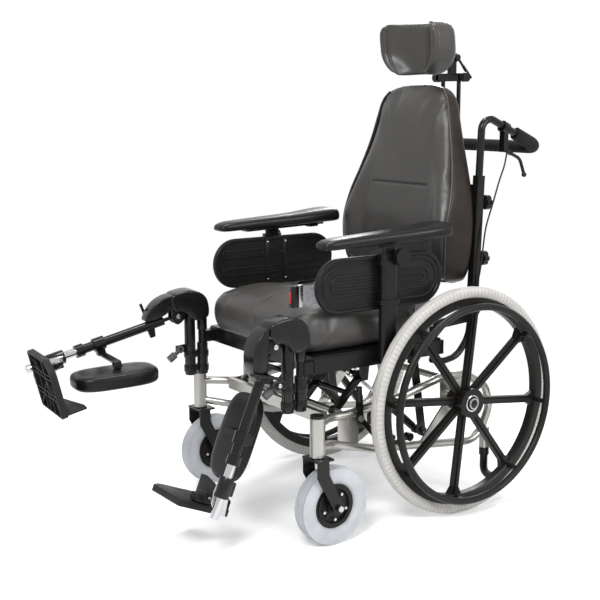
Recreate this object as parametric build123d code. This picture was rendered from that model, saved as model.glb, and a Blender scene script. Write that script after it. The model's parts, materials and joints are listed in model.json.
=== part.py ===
from build123d import *
from math import atan2, cos, degrees, hypot, radians, sin, tan
import os

# A wheelchair that tilts in space, seen from its own frame: X to the occupant's left, Y to the rear,
# Z up from the floor. Sizes are in millimetres. Y = 0 is the rear axle while the pieces are made, and
# the finished chair is moved so that its origin is under the middle of its bounding box.

# ---- clearances and hardware ----
running_fit = 0.05      # radial play of a pin in its bore
gap = 0.4               # air between pieces that move past each other
pin_radius = 5
bolt_head = 8.5
bolt_head_height = 4

# ---- wheels ----
rear_wheel_radius = 305
rear_tyre_width = 35
rear_wheel_x = 305
rim_radius = 277
rim_depth = 25
rim_width = 26
hub_radius = 31
hub_inner = 34
hub_disc_radius = 39
hub_disc_thickness = 9
hub_outer = 26
axle_radius = 8
spoke_count = 8
spoke_turn = 7            # degrees that the wheels stand turned forward of a spoke upright
spoke_width = 19
spoke_thickness = 15
handrim_radius = 258.5
handrim_tube = 9.5
handrim_offset = 50
standoff = 4.5

caster_radius = 100
caster_tyre_width = 46
caster_rim_radius = 58
caster_rim_width = 34
caster_x = 288
caster_trail = 42.5
stem_y = -462.5
stem_radius = 10
caster_axle_radius = 6
fork_plate = 4
fork_width = 37
fork_side_gap = 6
crown_height = 229
crown_thickness = 5

# ---- base frame ----
frame_tube = 11
side_x = 238
head_radius = 18.5
head_length = 98
lower_run_z = 202        # middle of the frame's lower tube, where it turns up to the casters
crossbar_height = 30
crossbar_thickness = 15
crossbar_y = -399
crossbar_z = 303
rear_cross_y = 40
rear_cross_z = 336
plate_thickness = 5
pivot_tube = 9
anti_tip_y = 142
anti_tip_tube = 11

# ---- tilt linkage, side view (Y, Z) ----
front_base = (-352, 310)
front_seat = (-270, 394)
rear_base = (-53, 206)
rear_seat = (-84, 408)
front_link_x = 208
inner_link_x = 69
rear_link_x = 199
strut_x = 172
link_thickness = 5
link_width = 24
link_play = 5.9         # the coupled linkage needs this much room round its opened pivots
seat_shaft_radius = 6
cylinder_radius = 11
strut_rod_radius = 5
cylinder_length = 165

# ---- seat ----
rail_x = 240
rail_width = 30
rail_height = 37
rail_z = 446
seat_front = -447
seat_rear = -30
pan_thickness = 5
cushion_width = 452
cushion_front = -478
cushion_rear = -12
cushion_height = 100
cushion_crown = 28
cushion_edge = 13
cushion_shoulder = 55
shoulder_rise = 0.6         # share of the crown that the shoulder reaches
belt_width = 50
belt_thickness = 2
belt_side_y = -108
buckle_y = -446
buckle_length = 25
buckle_height = 55
buckle_thickness = 16
button_travel = 3
button_wall = 3.8
button_end = 12
button_pocket = 9
hinge_y = -12
hinge_z = 498
hinge_pin = 6
hinge_plate = 3
arm_x = 211
arm_plate = 6

# ---- armrests ----
post_y = -230
post_depth = 50
post_width = 24
post_bottom = 432
post_top = 690
post_wall = 4
slide_top = 727
slide_play = 0.3
slide_bottom = 520
arm_slope = 1.6
panel_centre_y = -237
panel_centre_z = 638
panel_length = 402
panel_height = 139
panel_thickness = 13
panel_x = cushion_width / 2 + 12
pad_front = -426
pad_rear = -28
pad_x = 246

# ---- back ----
cane_x = cushion_width / 2 - 11
cane_side = 25
cane_bottom_y = 107
cane_bottom_z = 566
cane_top_y = 120
cane_top_z = 889
lower_tube = 9.2
shell_thickness = 7
back_bottom = 592
back_top = 1131
back_width = 472
upper_knob_z = 816
lower_knob_z = 665
knob_radius = 20
push_tube = 10
push_z = 1037
grip_y = 322
foam_radius = 17.5

# ---- headrest ----
head_post_x = 33
head_post_y = 205
head_post_radius = 6
head_pad_width = 262
head_pad_height = 132
head_pad_depth = 58
head_pad_z = 1222
head_pad_y = 72

# ---- legrests, each made hanging straight down from its knee ----
hanger_x = panel_x + 3
knee_x = hanger_x + 0.5
knee_y = -557.8
knee_z = 509.9
hanger_y = -480
hanger_front_y = -517
hanger_radius = 11
hanger_bottom = 342
hanger_top = 480
leg_x = -6
leg_radius = 12.5
leg_top = 42
leg_bottom = 293
knee_rod = 5
chrome_radius = 11
chrome_top = 160
chrome_bottom = 432
collar_radius = 17
calf_length = 225
calf_width = 130
calf_depth = 40
calf_x = -120
calf_u = 240
calf_n = -66
calf_pin_u = 231
calf_pin_n = -37
plate_top = 415
plate_thick = 17
plate_front = 66.5
plate_rear = -83.5
plate_outer = -68
plate_inner = -235
knee_sweep = 62
cover_sweep = 38
release_u = 72
release_x = 35           # stands this far out from the tube's middle, clear of the knee's cover
latch_u = 96
latch_n = -10
latch_x = -4
fold_u = 396
fold_n = -3
left_raise = 22.9
left_swing = 0.0
left_calf = 0
right_raise = 76.4
right_swing = 5.1
right_calf = 12          # degrees that the pad's lower end is lifted on its pin

axle_z = rear_wheel_radius
head_bottom = crown_height + 2
head_top = head_bottom + head_length
caster_y = stem_y + caster_trail
both = (1, -1)


def bar(a, b, radius, hole=0):
    start = Vector(*a)
    way = Vector(*b) - start
    section = Circle(radius) - Circle(hole) if hole else Circle(radius)
    return extrude(Plane(start, z_dir=way) * section, way.length)


def route(points, bends):
    """Straight runs joined by tangent arcs, with one bend radius for each inner point."""
    points = [Vector(*p) for p in points]
    start = points[0]
    edges = []
    for before, corner, after, radius in zip(points, points[1:], points[2:], bends):
        back = (before - corner).normalized()
        onward = (after - corner).normalized()
        half = radians(back.get_angle(onward)) / 2
        reach = radius / tan(half)
        centre = corner + (back + onward).normalized() * (radius / sin(half))
        middle = centre + (corner - centre).normalized() * radius
        end = corner + onward * reach
        edges.append(Edge.make_line(start, corner + back * reach))
        edges.append(Edge.make_three_point_arc(corner + back * reach, middle, end))
        start = end
    edges.append(Edge.make_line(start, points[-1]))
    return Wire(edges)


def pipe(points, bends, radius):
    path = route(points, bends)
    return sweep(Plane(path @ 0, z_dir=path % 0) * Circle(radius), path=path)


def slab(outline, x0, x1):
    """A flat plate seen from the side: its outline is in (Y, Z) and it spans x0 to x1."""
    return extrude(Plane.YZ.offset(x0) * make_face(Polyline(*outline, close=True)), x1 - x0)


def strap(a, b, width, x0, x1):
    """A flat bar with round ends from (Y, Z) a to b."""
    length = hypot(b[0] - a[0], b[1] - a[1])
    tilt = degrees(atan2(b[1] - a[1], b[0] - a[0]))
    middle = Location(((a[0] + b[0]) / 2, (a[1] + b[1]) / 2, 0), (0, 0, tilt))
    return extrude(Plane.YZ.offset(x0) * middle * SlotCenterToCenter(length, width), x1 - x0)


def across(y, z, x0, x1, radius):
    """A round bar along X at (y, z)."""
    return extrude(Plane.YZ.offset(x0) * Pos(y, z) * Circle(radius), x1 - x0)


def upright(x, y, z0, z1, radius):
    return extrude(Plane.XY.offset(z0) * Pos(x, y) * Circle(radius), z1 - z0)


def block(x0, x1, y0, y1, z0, z1):
    centre = ((x0 + x1) / 2, (y0 + y1) / 2, (z0 + z1) / 2)
    return Pos(*centre) * Box(abs(x1 - x0), abs(y1 - y0), abs(z1 - z0))


def flip(shape):
    return mirror(shape, about=Plane.YZ)


def pair(shape):
    """The left piece and its mirror image on the right."""
    return [shape, flip(shape)]


def bolt_x(x, y, z, way=1):
    """A button-head bolt whose head stands on the plane at x."""
    return across(y, z, x, x + way * bolt_head_height, bolt_head)


# ---------------------------------------------------------------- base

def side_frame():
    """One looped side of the base with its caster head, axle plate and pivot ears."""
    top = [
        (caster_x, stem_y, head_top - 22),
        (side_x, -392, head_top - 23),
        (side_x, -335, 305),
        (side_x, -150, 328),
        (side_x, -30, 357),
        (side_x, 62, 357),
        (side_x, 140, 312),
        (side_x, 157, 252),
        (side_x, 128, 190),
        (side_x, 92, 163),
        (side_x, -253, lower_run_z),
        (side_x, -392, head_bottom + 7),
        (caster_x, stem_y, head_bottom + 21),
    ]
    loop = pipe(top, [60, 120, 120, 60, 60, 45, 60, 60, 70, 70, 60], frame_tube)
    frame = loop + upright(caster_x, stem_y, head_bottom, head_top, head_radius)
    half = plate_thickness / 2
    frame += slab([(-24, 350), (56, 350), (52, 318), (26, 280), (-22, 280)], side_x - half, side_x + half)
    frame += strap((-76, 187), (8, 284), 30, side_x - half, side_x + half)
    frame += slab([(-362, 230), (-300, 214), (-300, 300), (-362, 300)], side_x - half, side_x + half)
    frame += across(*rear_base, strut_x - 16, side_x, pin_radius)
    frame += across(0, axle_z, side_x - 8, rear_wheel_x - hub_inner - 1, 15)
    frame += across(0, axle_z, side_x, rear_wheel_x + hub_outer + hub_disc_thickness + 1, axle_radius)
    frame += upright(side_x, anti_tip_y, 138, 196, anti_tip_tube + 3)
    frame -= upright(caster_x, stem_y, head_bottom - 1, head_top + 1, stem_radius)
    frame -= upright(side_x, anti_tip_y, 100, 178, 8)
    frame -= across(-57, 208, side_x - 20, side_x + 20, 4)
    nut_x = rear_wheel_x + hub_outer + hub_disc_thickness + 1
    nut = across(0, axle_z, nut_x, nut_x + 5, 15)
    washer_x = side_x - 8
    inner_nut = across(0, axle_z, washer_x - 7, washer_x, 12)
    return [frame, nut, inner_nut]


def cross_members(side_solids):
    """Front crossbar, front pivot tube and rear tube, coped where they meet the looped sides."""
    reach = side_x - frame_tube
    front = block(
        -reach + 1, reach - 1,
        crossbar_y - crossbar_thickness / 2, crossbar_y + crossbar_thickness / 2,
        crossbar_z - crossbar_height / 2, crossbar_z + crossbar_height / 2,
    )
    pivot = across(*front_base, -reach - 4, reach + 4, pivot_tube)
    rear = across(rear_cross_y, rear_cross_z, -reach - 4, reach + 4, frame_tube)
    tabs = []
    for side in both:
        tab = block(
            side * (reach - 30), side * (reach - 1),
            crossbar_y + crossbar_thickness / 2, crossbar_y + crossbar_thickness / 2 + 4,
            crossbar_z - 12, crossbar_z + 12,
        )
        tabs.append(tab)
    made = [front + tabs[0] + tabs[1], pivot, rear]
    for solid in side_solids:
        made = [piece - solid - flip(solid) for piece in made]
    return made


def anti_tipper():
    """A plugged-in tube that drops behind the frame and runs back just above the floor."""
    low = 33
    tube = pipe(
        [(side_x, anti_tip_y, 137.6), (side_x, anti_tip_y, 60), (side_x, anti_tip_y + 62, low)],
        [38],
        anti_tip_tube,
    )
    plug = upright(side_x, anti_tip_y, 137.6, 176, 8 - running_fit)
    collar = upright(side_x, anti_tip_y, 116, 137.6, anti_tip_tube + 3)
    return [tube + plug + collar]


def wheel_brake():
    """Parking brake: lever and curved shoe arm on one pivot outside the side frame."""
    x0 = side_x + frame_tube + 6
    pivot = (-309, 296)
    lever = strap(pivot, (-311, 352), 20, x0, x0 + 5)
    grip = pipe([(x0 + 2.5, -311, 340), (x0 + 2.5, -312, 378)], [], 8)
    arm = strap(pivot, (-262, 246), 14, x0, x0 + 5)
    hook = pipe(
        [(x0 + 2.5, -262, 246), (x0 + 2.5, -222, 216), (x0 + 2.5, -180, 212), (x0 + 2.5, -152, 220)],
        [30, 30],
        6,
    )
    knob = across(-148, 221, x0 - 6, x0 + 11, 11)
    boss = across(*pivot, x0 - 1, x0 + 6, 12)
    bore = across(*pivot, x0 - 10, x0 + 20, pin_radius + running_fit)
    return [lever + grip + arm + hook + knob + boss - bore]


def brake_plates():
    """The bolted brake bracket on each side frame, with the pivot pin."""
    made = []
    inner = side_x + plate_thickness / 2
    x0 = side_x + frame_tube + 6
    plate = slab([(-334, 270), (-276, 262), (-276, 312), (-334, 320)], inner, inner + 4)
    pin = across(-309, 296, inner + 4, x0 + 7, pin_radius)
    cap = across(-309, 296, x0 + 7, x0 + 10, bolt_head)
    made.append(plate + pin + cap)
    return made


# ---------------------------------------------------------------- casters and wheels

def caster_fork():
    half = caster_tyre_width / 2 + fork_side_gap
    y0, y1 = stem_y - 22, stem_y + 28
    crown = block(caster_x - half - fork_plate, caster_x + half + fork_plate, y0, y1,
                  crown_height - crown_thickness, crown_height)
    fork = crown
    knee = 191
    for side in both:
        x0 = caster_x + side * half
        x1 = x0 + side * fork_plate
        outline = [
            (y0 + 2, crown_height - 1),
            (y1 - 15, crown_height - 1),
            (y1 - 14, knee),
            (caster_y + fork_width / 2 - 2, caster_radius),
            (caster_y - fork_width / 2 + 2, caster_radius),
            (y0 + 2, knee - 6),
        ]
        fork += slab(outline, x0, x1)
        fork += across(caster_y, caster_radius, x0, x1, fork_width / 2 - 2)
    stem = upright(caster_x, stem_y, crown_height - 2, head_top + 3, stem_radius - running_fit)
    washer = upright(caster_x, stem_y, crown_height, head_bottom - gap, 14)
    cap = upright(caster_x, stem_y, head_top + gap, head_top + 7, head_radius - 1)
    fork += stem + washer + cap
    axle = across(caster_y, caster_radius, caster_x - half - fork_plate, caster_x + half + fork_plate,
                  caster_axle_radius)
    heads = [bolt_x(caster_x + side * (half + fork_plate), caster_y, caster_radius, side) for side in both]
    fork += axle
    return [fork] + heads


def ring_about_x(profile, x, y, z):
    """Spins a profile drawn in (distance from the axle, X) about an axle along X through (y, z)."""
    flat = Plane(origin=(x, y, z), x_dir=(0, 0, 1), z_dir=(0, 1, 0))
    face = flat * profile
    return revolve(face, axis=Axis((x, y, z), (1, 0, 0)))


def caster_wheel():
    half = caster_rim_width / 2
    hub_half = caster_tyre_width / 2 + fork_side_gap - gap
    r = caster_rim_radius
    outline = [(14, -half), (r - 9, -half), (r - 9, -half + 3), (r, -half + 3), (r, half - 3),
               (r - 9, half - 3), (r - 9, half), (14, half)]
    dish = [(20, half + 1), (20, half - 8), (40, half - 8), (45, half + 1)]
    profile = make_face(Polyline(*outline, close=True)) - make_face(Polyline(*dish, close=True))
    other = [(a, -b) for a, b in dish]
    profile -= make_face(Polyline(*other, close=True))
    wheel = ring_about_x(profile, caster_x, caster_y, caster_radius)
    wheel += across(caster_y, caster_radius, caster_x - hub_half, caster_x + hub_half, 14.5)
    for k in range(4):
        turn = radians(45 + 90 * k)
        y = caster_y + 30 * cos(turn)
        z = caster_radius + 30 * sin(turn)
        wheel += across(y, z, caster_x - half + 1, caster_x + half - 1, 5)
    wheel -= across(caster_y, caster_radius, caster_x - 60, caster_x + 60, caster_axle_radius + running_fit)
    return [wheel]


def caster_tyre():
    half = caster_tyre_width / 2
    r = caster_rim_radius
    with BuildSketch(Plane.XY) as section:
        with BuildLine():
            a = Line((r, -half + 9), (r + 8, -half + 2))
            b = ThreePointArc(a @ 1, (caster_radius, 0), (r + 8, half - 2))
            c = Line(b @ 1, (r, half - 9))
            Line(c @ 1, a @ 0)
        make_face()
    return [ring_about_x(section.sketch, caster_x, caster_y, caster_radius)]


def rear_wheel():
    """Composite wheel: rim, spokes, hub and the handrim on its standoffs."""
    half = rim_width / 2
    inner = rim_radius - rim_depth
    rim = ring_about_x(
        make_face(Polyline((inner, -half + 3), (inner + 5, -half), (rim_radius, -half), (rim_radius, half),
                           (inner + 5, half), (inner, half - 3), close=True)),
        rear_wheel_x, 0, axle_z,
    )
    hub0 = rear_wheel_x - hub_inner
    hub1 = rear_wheel_x + hub_outer
    wheel = rim + across(0, axle_z, hub0, hub1, hub_radius)
    wheel += across(0, axle_z, hub1, hub1 + hub_disc_thickness, hub_disc_radius)
    reach = inner + 3 - hub_radius + 4
    spoke = block(-spoke_thickness / 2, spoke_thickness / 2, -spoke_width / 2, spoke_width / 2, 0, reach)
    ridge = block(spoke_thickness / 2 - 1, spoke_thickness / 2 + 4, -4, 4, 0, reach)
    web = extrude(
        Plane.YZ.offset(-spoke_thickness / 2 + 1) * make_face(
            Polyline((-spoke_width / 2 + 1, reach - 27), (spoke_width / 2 - 1, reach - 27),
                     (spoke_width / 2 + 15, reach), (-spoke_width / 2 - 15, reach), close=True)),
        spoke_thickness - 2,
    )
    spoke = spoke + ridge + web
    for k in range(spoke_count):
        turn = 360 / spoke_count * k
        placed = Pos(rear_wheel_x, 0, axle_z) * Rot(turn, 0, 0) * Pos(0, 0, hub_radius - 4)
        wheel += placed * spoke
    handrim_x = rear_wheel_x + handrim_offset
    handrim = ring_about_x(Pos(handrim_radius, 0) * Circle(handrim_tube), handrim_x, 0, axle_z)
    wheel += handrim
    foot = block(half - 6, handrim_offset - handrim_tube + 4, -standoff - 1, standoff + 1,
                 handrim_radius - standoff, handrim_radius + standoff)
    for k in range(spoke_count):
        wheel += Pos(rear_wheel_x, 0, axle_z) * Rot(360 / spoke_count * k, 0, 0) * foot
    wheel -= across(0, axle_z, hub0 - 1, hub1 + hub_disc_thickness + 1, axle_radius + running_fit)
    return [wheel.rotate(Axis((0, 0, axle_z), (1, 0, 0)), -spoke_turn)]


def rear_tyre():
    half = rear_tyre_width / 2
    centre = rear_wheel_radius - half
    section = Pos(centre, 0) * Circle(half) - Pos(rim_radius - 25, 0) * Rectangle(50, rear_tyre_width + 2)
    return [ring_about_x(section, rear_wheel_x, 0, axle_z)]


# ---------------------------------------------------------------- tilt linkage

def front_links():
    """Each side: two bars on the base pivot tube, joined by a plate, carrying the seat shaft."""
    made = []
    t = link_thickness / 2
    dy = front_seat[0] - front_base[0]
    dz = front_seat[1] - front_base[1]
    length = hypot(dy, dz)
    uy, uz = dy / length, dz / length
    for side in both:
        link = None
        for x in (front_link_x, inner_link_x):
            b = strap(front_base, front_seat, link_width, side * x - t, side * x + t)
            b += across(*front_base, side * x - t - 4, side * x + t + 4, 15)
            b += across(*front_seat, side * x - t - 3, side * x + t + 3, 13)
            link = b if link is None else link + b
        start = (front_base[0] + 22 * uy, front_base[1] + 22 * uz)
        end = (front_seat[0] - 36 * uy, front_seat[1] - 36 * uz)
        web = strap(start, end, 4, side * inner_link_x, side * front_link_x)
        link += web
        link -= across(*front_base, side * (inner_link_x - 30), side * (front_link_x + 30),
                       pivot_tube + running_fit)
        link -= across(*front_seat, side * (inner_link_x - 30), side * (front_link_x + 30),
                       seat_shaft_radius + running_fit)
        made.append(link)
    return made


def rear_links():
    made = []
    t = link_thickness / 2
    link = strap(rear_base, rear_seat, link_width, rear_link_x - t, rear_link_x + t)
    link += across(*rear_base, rear_link_x - t - 3, rear_link_x + t + 3, 13)
    link += across(*rear_seat, rear_link_x - t, rear_link_x + t, 14.8)
    link -= across(*rear_base, rear_link_x - 30, rear_link_x + 30, pin_radius + running_fit)
    link -= across(*rear_seat, rear_link_x - 30, rear_link_x + 30, pin_radius + link_play)
    return pair(link)


def strut_line():
    dy = front_seat[0] - rear_base[0]
    dz = front_seat[1] - rear_base[1]
    length = hypot(dy, dz)
    return dy / length, dz / length, length


def tilt_cylinders():
    uy, uz, length = strut_line()

    def at(d):
        return (strut_x, rear_base[0] + uy * d, rear_base[1] + uz * d)

    body = bar(at(16), at(cylinder_length), cylinder_radius)
    eye = across(*rear_base, strut_x - 6, strut_x + 6, 12)
    body += eye + bar(at(6), at(20), 7)
    body -= bar(at(40), at(cylinder_length + 1), strut_rod_radius + running_fit)
    body -= across(*rear_base, strut_x - 20, strut_x + 20, pin_radius + running_fit)
    return pair(body)


def tilt_rods():
    uy, uz, length = strut_line()

    def at(d):
        return (strut_x, rear_base[0] + uy * d, rear_base[1] + uz * d)

    rod = bar(at(60), at(length - 11), strut_rod_radius)
    eye = across(*front_seat, strut_x - 6.5, strut_x + 6.5, 14.8)
    rod += eye
    rod -= across(*front_seat, strut_x - 20, strut_x + 20, seat_shaft_radius + link_play - 0.8)
    return pair(rod)


# ---------------------------------------------------------------- seat

def rail_span():
    return rail_z - rail_height / 2, rail_z + rail_height / 2


def seat_frame():
    z0, z1 = rail_span()
    inner = rail_x - rail_width / 2
    outer = rail_x + rail_width / 2
    front_panel = block(-inner, inner, seat_front, seat_front + 12, z0, z1)
    rear_bar = block(-inner, inner, -74, -52, rail_z + 5, z1)
    pan = block(-outer + 6, outer - 6, seat_front, seat_rear - 6, z1, z1 + pan_thickness)
    shaft = across(*front_seat, -front_link_x - 18, front_link_x + 18, seat_shaft_radius)
    frame = front_panel + rear_bar + pan
    for side in both:
        rail = block(side * inner, side * outer, seat_front, seat_rear, z0, z1)
        ear = slab([(front_seat[0] - 16, z0 + 2), (front_seat[0] + 16, z0 + 2),
                    (front_seat[0] + 11, front_seat[1] - 12), (front_seat[0] - 11, front_seat[1] - 12)],
                   side * (front_link_x + 13), side * (front_link_x + 18))
        drop = block(side * inner, side * (front_link_x + 13), front_seat[0] - 16, front_seat[0] + 16,
                     z0 + 2, z0 + 8)
        lug_x = rear_link_x - link_thickness / 2 - 4
        lug = slab([(rear_seat[0] - 13, z1 + 1), (rear_seat[0] + 13, z1 + 1),
                    (rear_seat[0] + 13, rear_seat[1] - 10), (rear_seat[0] - 13, rear_seat[1] - 10)],
                   side * (lug_x - 5), side * lug_x)
        pin = across(*rear_seat, side * (lug_x - 2), side * (rear_link_x + link_thickness / 2), pin_radius)
        hinge = slab([(hinge_y - 42, z0), (seat_rear, z0), (seat_rear, z1), (hinge_y + 12, hinge_z - 8),
                      (hinge_y + 9, hinge_z + 10), (hinge_y - 10, hinge_z + 12), (hinge_y - 38, hinge_z - 4)],
                     side * (inner - hinge_plate), side * (inner + 1))
        hinge_bolt = across(hinge_y, hinge_z, side * (inner - 20), side * inner, hinge_pin)
        frame += rail + ear + drop + lug + pin + hinge + hinge_bolt
        frame += hanger_post(side)
    frame += shaft
    return [frame]


def hanger_post(side):
    z0, z1 = rail_span()
    post = upright(side * hanger_x, hanger_y, hanger_bottom, hanger_top, hanger_radius)
    bracket = block(side * (hanger_x - 12), side * (hanger_x + 12), hanger_y + 4, seat_front, z0 + 2, z1 - 4)
    return post + bracket


def cushion_body(width, y0, y1, z0, height, crown, soft):
    """A cushion with drawn-in sides and a crowned top, lofted from its base to its crown."""
    depth = y1 - y0
    middle = (y0 + y1) / 2
    levels = [
        (0, width - 16, depth - 16, soft * 0.55),
        (height * 0.22, width, depth, soft * 0.75),
        (height * 0.62, width, depth, soft),
        (height, width - 2 * cushion_edge, depth - 2 * cushion_edge, soft),
        (height + crown * shoulder_rise, width - 2 * cushion_shoulder, depth - 2 * cushion_shoulder, soft * 1.2),
        (height + crown, width - 350, depth - 290, soft),
    ]
    faces = []
    for z, w, d, r in levels:
        corner = min(r, 0.45 * w, 0.45 * d)
        faces.append(Plane.XY.offset(z0 + z) * Pos(0, middle) * RectangleRounded(w, d, corner))
    return loft(faces, ruled=True)


def seat_cushion():
    z0 = rail_span()[1] + pan_thickness + gap
    body = cushion_body(cushion_width, cushion_front, cushion_rear, z0, cushion_height, cushion_crown, 48)
    for side in both:
        body -= block(side * (arm_x - 8), side * 300, hinge_y - 50, 100, z0 - 1, z0 + 200)
        body -= upright(side * hanger_x, hanger_y, z0 - 1, z0 + 200, cover_sweep)
    return [body]


def arm_posts():
    """Oval outer posts bolted to the rails, each with two collars and a clamp screw."""
    x = rail_x + rail_width / 2 + post_width / 2
    outer = Pos(x, post_y) * RectangleRounded(post_width, post_depth, post_width * 0.42)
    bore = Pos(x, post_y) * RectangleRounded(post_width - 2 * post_wall, post_depth - 2 * post_wall,
                                             (post_width - 2 * post_wall) * 0.42)
    post = extrude(Plane.XY.offset(post_bottom) * outer, post_top - post_bottom)
    for z in (584, 684):
        ring = Pos(x, post_y) * RectangleRounded(post_width + 10, post_depth + 12, post_width * 0.5)
        band = extrude(Plane.XY.offset(z) * ring, 12)
        band -= block(panel_x - 40, panel_x + panel_thickness, post_y - 80, post_y + 80, z - 1, z + 13)
        post += band
    head = extrude(Plane.XY.offset(post_top) * Pos(x, post_y)
                   * RectangleRounded(post_width + 4, post_depth + 6, post_width * 0.42), 22)
    post += head
    post -= extrude(Plane.XY.offset(post_bottom + 40) * bore, post_top - post_bottom)
    screw_x = x + post_width / 2 + 2
    stalk = across(post_y + 22, 703, screw_x - 1, screw_x + 5, 7)
    knob = across(post_y + 22, 703, screw_x + 5, screw_x + 20, 22)
    post += stalk + knob
    lower_bolt = bolt_x(x + post_width / 2, post_y - 10, rail_z + 12)
    return pair(post) + pair(lower_bolt)


def racetrack(length, height):
    return SlotOverall(length, height)


def side_panels():
    """Racetrack skirt guards with raised oval ribs outside and stiffening ribs inside."""
    plane = Plane.YZ.offset(panel_x)
    centre = Pos(panel_centre_y, panel_centre_z)
    panel = extrude(plane * centre * racetrack(panel_length, panel_height), panel_thickness)
    recess = racetrack(panel_length - 18, panel_height - 18)
    panel -= extrude(Plane.YZ.offset(panel_x - 1) * centre * recess, 6)
    panel -= extrude(Plane.YZ.offset(panel_x + panel_thickness - 3) * centre * recess, 4)
    inside = centre * (Rectangle(panel_length - 30, 3) + Pos(0, 22) * Rectangle(panel_length - 60, 3)
                       + Pos(0, -22) * Rectangle(panel_length - 60, 3))
    inside += centre * (Pos(-18, 0) * Rectangle(4, panel_height - 10) + Pos(22, 0) * Rectangle(4, panel_height - 10))
    panel += extrude(Plane.YZ.offset(panel_x) * inside, 5.5)
    for k, inset in enumerate((38, 78)):
        ring = racetrack(panel_length - inset, panel_height - inset)
        ring -= racetrack(panel_length - inset - 7, panel_height - inset - 7)
        panel += extrude(Plane.YZ.offset(panel_x + panel_thickness - 3.5) * centre * ring, 2.5)
    return pair(panel)


def arm_slide():
    """Inner post of an armrest with the plate that its pad is screwed to."""
    x = rail_x + rail_width / 2 + post_width / 2
    play = post_wall + slide_play
    section = Pos(x, post_y) * RectangleRounded(post_width - 2 * play, post_depth - 2 * play,
                                                (post_width - 2 * play) * 0.42)
    post = extrude(Plane.XY.offset(slide_bottom) * section, slide_top + 4 - slide_bottom)
    plate = block(pad_x - 17, pad_x + 17, -335, -75, slide_top + 2, slide_top + 8)
    plate += block(pad_x - 11, pad_x + 11, -120, -90, slide_top - 4, slide_top + 2)
    return [post + tipped(plate)]


def tipped(shape):
    return shape.rotate(Axis((0, post_y, slide_top), (1, 0, 0)), arm_slope)


def arm_pad():
    """A flat-bottomed pad, narrow in front and wide at the elbow."""
    stations = (
        (pad_front, 26, 12), (pad_front + 6, 46, 22), (pad_front + 30, 60, 27), (pad_front + 150, 64, 29),
        (pad_front + 290, 74, 33), (pad_rear - 90, 92, 39), (pad_rear - 40, 97, 41), (pad_rear - 9, 78, 34),
        (pad_rear, 46, 22),
    )
    base = slide_top + 8
    faces = []
    for y, width, height in stations:
        lift = 4 if height < 25 else 0
        plane = Plane(origin=(pad_x, y, base + lift + height / 2), x_dir=(1, 0, 0), z_dir=(0, 1, 0))
        faces.append(plane * RectangleRounded(width, height, height * 0.42))
    return [tipped(loft(faces, ruled=True))]


def belt_bottom():
    """The belt stands on edge, just over the shoulder of the cushion."""
    shoulder = cushion_height + cushion_crown * shoulder_rise
    return rail_span()[1] + pan_thickness + gap + shoulder + 1


def belt_side():
    """Inner face of the webbing where it drops between the cushion and the side panel."""
    return cushion_width / 2 + 1.5


def buckle_x():
    """The buckle stands just outside the shoulder line of the cushion."""
    return cushion_width / 2 - cushion_shoulder + buckle_thickness


def buckle_turn():
    """Degrees about the vertical that line the buckle up with the webbing behind it."""
    return -degrees(atan2(belt_side() - buckle_x(), belt_side_y - buckle_y))


def at_buckle(shape):
    """Moves a piece made with its belt end at the origin and its length along -Y to the buckle's place."""
    return Pos(buckle_x(), buckle_y, belt_bottom()) * Rot(0, 0, buckle_turn()) * shape


def buckle_span():
    low = (belt_width - buckle_height) / 2
    return low, low + buckle_height


def lap_belt():
    """Webbing on edge from the left rail, up beside the cushion and forward to the buckle on its near edge."""
    z0 = rail_span()[1] + pan_thickness
    side = belt_side()
    x = buckle_x()
    low, top = belt_bottom(), belt_bottom() + belt_width
    t = belt_thickness
    drop = block(side, side + t, belt_side_y, belt_side_y + belt_width, z0 + 0.1, top)
    strip = make_face(Polyline((x - t / 2, buckle_y), (x + t / 2, buckle_y), (side + t, belt_side_y),
                               (side + t, belt_side_y + 6), (side, belt_side_y + 6), (side, belt_side_y + 2),
                               close=True))
    belt = drop + extrude(Plane.XY.offset(low) * strip, belt_width)
    z_low, z_top = buckle_span()
    half = buckle_thickness / 2
    shell = block(-half, half, -buckle_length, 0, z_low, z_top)
    shell += block(-half + 4, half - 4, -1, 10, 0, belt_width)
    shell -= block(-half + button_wall, half - button_wall, -buckle_length - 1, -buckle_length + button_pocket,
                   z_low + button_end, z_top - button_end)
    return [belt + at_buckle(shell)]


def buckle_button():
    """The press button in the buckle's front end, standing a little proud of it."""
    half = buckle_thickness / 2 - button_wall - gap
    z_low, z_top = buckle_span()
    return [at_buckle(block(-half, half, -buckle_length - 2, -buckle_length + button_pocket - button_travel - gap,
                            z_low + button_end + gap, z_top - button_end - gap))]


# ---------------------------------------------------------------- back

def lean():
    return degrees(atan2(cane_top_y - cane_bottom_y, cane_top_z - cane_bottom_z))


def cane_at(z):
    """Y of the cane's centre line at height z."""
    share = (z - cane_bottom_z) / (cane_top_z - cane_bottom_z)
    return cane_bottom_y + share * (cane_top_y - cane_bottom_y)


def on_back(shape):
    """Moves a piece made with Y = 0 on the back of the shell and Z = 0 at its foot to its place."""
    return Pos(0, cane_at(back_bottom) - cane_side / 2 - 1, back_bottom) * Rot(-lean(), 0, 0) * shape


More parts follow.
